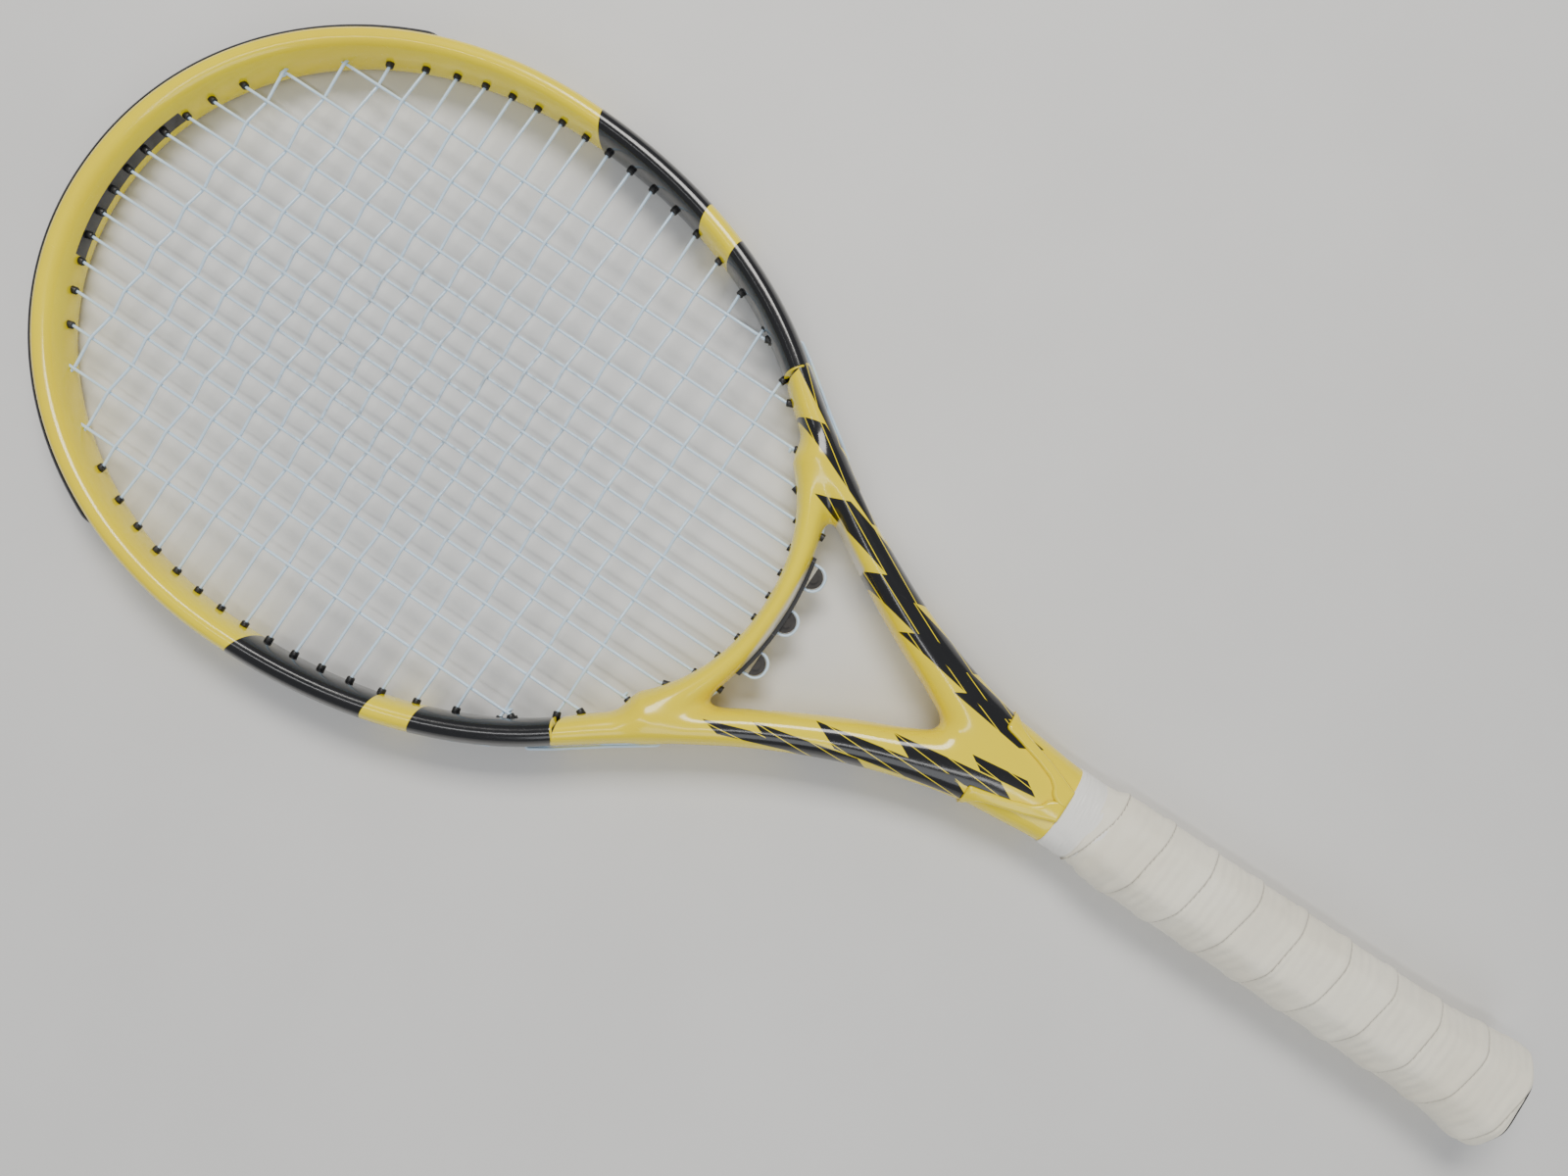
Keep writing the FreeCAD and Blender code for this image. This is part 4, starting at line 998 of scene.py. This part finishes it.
# ---- handle
def superellipse_radius(angle, half_width, half_height, power):
    """1 / radius = ((|cos| / half_width) ^ power + (|sin| / half_height) ^ power) ^ (1 / power)."""
    total = (np.abs(np.cos(angle)) / half_width) ** power + (np.abs(np.sin(angle)) / half_height) ** power
    return total ** (-1 / power)


def octagon_radius(angle, half_width, half_height, sharpness):
    """Rounded octagon: 1 / radius ^ q is the sum of (|direction . normal| / distance) ^ q over its flats."""
    c = np.cos(angle)
    s = np.sin(angle)
    corner = np.array([0.5 * half_width, half_height]), np.array([half_width, 0.36 * half_height])
    slope = corner[1] - corner[0]
    normal = np.stack([-slope[1], slope[0]])
    normal = normal / np.linalg.norm(normal, axis=0)
    reach = (normal * corner[0]).sum(0)
    total = (np.abs(c) / half_width) ** sharpness + (np.abs(s) / half_height) ** sharpness
    total = total + (np.abs(np.abs(c) * normal[0] + np.abs(s) * normal[1]) / reach) ** sharpness
    return total ** (-1 / sharpness)


def sleeve(xs, half_width, half_height, extra, sharpness, around):
    """Closed sleeve round the handle: rows along X, and extra (N, M) stands off the rounded octagon."""
    angle = full_turn(around)
    flats = np.stack([octagon_radius(angle, a, b, sharpness) for a, b in zip(half_width, half_height)])
    radius = flats + extra
    grid = np.stack([np.repeat(xs[:, None], around, 1), radius * np.cos(angle), radius * np.sin(angle)], -1)
    return capped_tube(grid)


def soft_noise(shape, waves, seed):
    """Smooth repeatable unevenness: a sum of sine waves that close round the handle."""
    rng = np.random.default_rng(seed)
    rows, around = shape
    i = np.arange(rows)[:, None] / rows
    j = np.arange(around)[None, :] / around
    total = np.zeros(shape)
    for _ in range(waves):
        along = rng.uniform(2, 60)
        turns = rng.integers(0, 9)
        phase = rng.uniform(0, 2 * np.pi)
        total += np.sin(2 * np.pi * (along * i + turns * j) + phase) / math.sqrt(waves)
    return total


def make_overgrip(material):
    """Overgrip wound in a spiral: each turn's edge stands on the turn before it.

    phase goes from 0 to 1 from a turn's edge to the next; the guide UV holds it and the edge's height.
    """
    xs = np.concatenate([np.linspace(1.3, 2.6, 6)[:-1], np.arange(2.6, 194.01, 0.46)])
    stations = [1.3, 2.2, 4.0, 9.0, 20.0, 34.0, 60.0, 180.0, 184.0, 188.0, 194.0]
    wide = np.interp(xs, stations, [22.0, 22.7, 22.95, 22.5, 20.9, 19.55, 19.35, 19.35, 19.2, 17.5, 17.2])
    tall = np.interp(xs, stations, [16.4, 17.1, 17.4, 17.3, 17.2, 17.1, 17.0, 17.0, 16.4, 13.2, 12.4])
    kernel = np.hanning(15)
    kernel /= kernel.sum()
    wide, tall = [np.convolve(np.pad(row, 7, mode="edge"), kernel, "valid") for row in (wide, tall)]
    around = 150
    angle = full_turn(around)
    turn = ((np.pi - angle) % (2 * np.pi)) / (2 * np.pi)
    waver = 0.35 * np.sin(2 * np.pi * xs[:, None] / 57.0 + 3 * angle[None])
    phase = ((xs[:, None] + waver + 2.6) / GRIP_PITCH - turn[None]) % 1.0
    travel = phase * GRIP_PITCH
    edge = np.clip(travel / 0.45, 0, 1) * (1 - smooth_step(2.0, 5.5, travel))
    settle = 0.16 * (1 - phase)
    extra = 0.52 * edge + settle + 0.10 * soft_noise((len(xs), around), 14, 5)
    extra = extra - 0.22 * np.exp(-((travel - GRIP_PITCH) / 0.5) ** 2)
    vertices, faces = sleeve(xs, wide, tall, extra, 13.0, around)
    guide = np.stack([phase.ravel(), edge.ravel()], -1)
    guide = np.concatenate([guide, [[0.5, 0], [0.5, 0]]])
    return make_piece("spiral_overgrip", vertices, faces, material, uv=guide)


def make_tape(material):
    """Finishing tape round the top of the grip: a rounded octagon that turns into the shaft's section."""
    xs = np.concatenate([[185.6], np.linspace(185.8, 206.0, 60), [206.15]])
    wide = np.interp(xs, [185.6, 185.8, 190.0, 206.0, 206.15], [17.3, 17.75, 17.55, 17.35, 16.7])
    tall = np.interp(xs, [185.6, 185.8, 190.0, 206.0, 206.15], [13.4, 13.9, 13.2, 12.6, 11.4])
    around = 150
    angle = full_turn(around)
    turn = angle / (2 * np.pi)
    lap = 0.25 * smooth_step(0.0, 0.03, turn - 0.70) * (1 - smooth_step(0.86, 0.90, turn))
    sharpness = 7.0
    flats = np.stack([octagon_radius(angle, a, b, sharpness) for a, b in zip(wide, tall)])
    shaft = superellipse_radius(angle, 17.3, 12.0, SECTION_POWER)
    corners = np.maximum(0.0, shaft - flats) * smooth_step(190.0, 204.0, xs)[:, None]
    extra = 0.09 * soft_noise((len(xs), around), 10, 9) + lap[None] + corners
    vertices, faces = sleeve(xs, wide, tall, extra, sharpness, around)
    return make_piece("grip_finishing_tape", vertices, faces, material)


def make_cap(material):
    """Butt cap: rings from inside the door's window, over the flat end and the rounded rim, to the skirt.

    The window's ring is a superellipse of power 9, and each ring after it is a rounded octagon.
    """
    around = 160
    angle = full_turn(around)
    window = superellipse_radius(angle, *WINDOW_HALF, 9)
    sharpness = 15.0
    rows = [(2.7, window), (1.2, window), (0.45, window), (0.12, window + 0.12), (0.0, window + 0.4)]
    end = octagon_radius(angle, *BUTT_HALF, sharpness)
    for share in (0.25, 0.5, 0.72, 0.74, 0.765, 0.79, 0.81, 1.0):
        dip = 0.35 if share in (0.74, 0.765, 0.79) else 0.0
        rows.append((dip, (window + 0.4) * (1 - share) + end * share))
    for turn in np.radians([18, 36, 54, 72, 90]):
        grow = BUTT_ROUND * math.sin(turn)
        rim = octagon_radius(angle, BUTT_HALF[0] + grow, BUTT_HALF[1] + grow, sharpness)
        rows.append((BUTT_ROUND * (1 - math.cos(turn)), rim))
    rows.append((4.2, octagon_radius(angle, 21.8, 16.6, sharpness)))
    rows.append((6.5, octagon_radius(angle, 20.9, 15.8, sharpness)))
    rings = [np.stack([np.full(around, x), r * np.cos(angle), r * np.sin(angle)], -1) for x, r in rows]
    piece = make_piece("butt_end_cap", np.concatenate(rings), ring_faces(len(rows), around), material)
    wall = piece.modifiers.new("wall", "SOLIDIFY")
    wall.thickness = 0.3 * MM
    wall.offset = -1.0
    return piece


# ---- assembly
def dress(nodes, material, *names):
    """Gives CAD nodes a material in place of their plain one."""
    for name in names:
        mesh = nodes[name].data
        mesh.materials.clear()
        mesh.materials.append(material)


def build_racket(nodes):
    """Camera and stage, materials, the new pieces and what they replace, and finishes for the kept nodes."""
    make_camera()
    GROUPS["angular_bar"] = blade_group()
    GROUPS["handling_marks"] = wear_group()
    make_stage()

    throat_paint = lacquer("lacquer_shafts", shaft_mask)
    hoop_paint = lacquer("lacquer_hoop", hoop_mask)
    fork_paint = lacquer("lacquer_fork", no_mask)
    nylon = nylon_material()

    cap_plastic = plain_plastic("cap_black", (0.03, 0.03, 0.03, 1.0), 0.5)
    pieces = [
        (make_cap(cap_plastic), "cap_plastic", ["butt_cap"]),
        (make_throat(throat_paint), "painted_frame", ["hairpin_frame", "throat_bridge"]),
        (make_hoop(hoop_paint), "painted_frame", []),
        (make_bumper(nylon), "black_nylon", ["bumper_guard"]),
        (make_sleeves(nylon), "black_nylon", []),
        (make_fork("fork_upper", 1, fork_paint), "fork_plastic", ["fork_cover_upper"]),
        (make_fork("fork_lower", -1, fork_paint), "fork_plastic", ["fork_cover_lower"]),
        (make_overgrip(overgrip_material()), "overgrip_fabric", ["overgrip", "base_grip"]),
        (make_tape(tape_material()), "tape_film", ["finishing_tape"]),
    ]
    for piece, slot, replaced in pieces:
        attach(piece, "racket")
        if replaced:
            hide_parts(*replaced)

    dress(nodes, nylon, "left_grommet_strip", "right_grommet_strip", "bridge_grommet_strip",
          "corner_grommets")
    dress(nodes, smoked_material(), "bridge_saddles")
    dress(nodes, string_material(), "main_string", "cross_string", "string_knots")
    dress(nodes, cap_plastic, "trap_door")
    dress(nodes, plain_plastic("pallet_foam", (0.55, 0.52, 0.45, 1.0), 0.8), "pallet_upper", "pallet_lower",
          "tube_end_plugs")
    dress(nodes, plain_plastic("staple_steel", (0.5, 0.5, 0.5, 1.0), 0.35), "butt_staples")


build_racket(frame["nodes"])
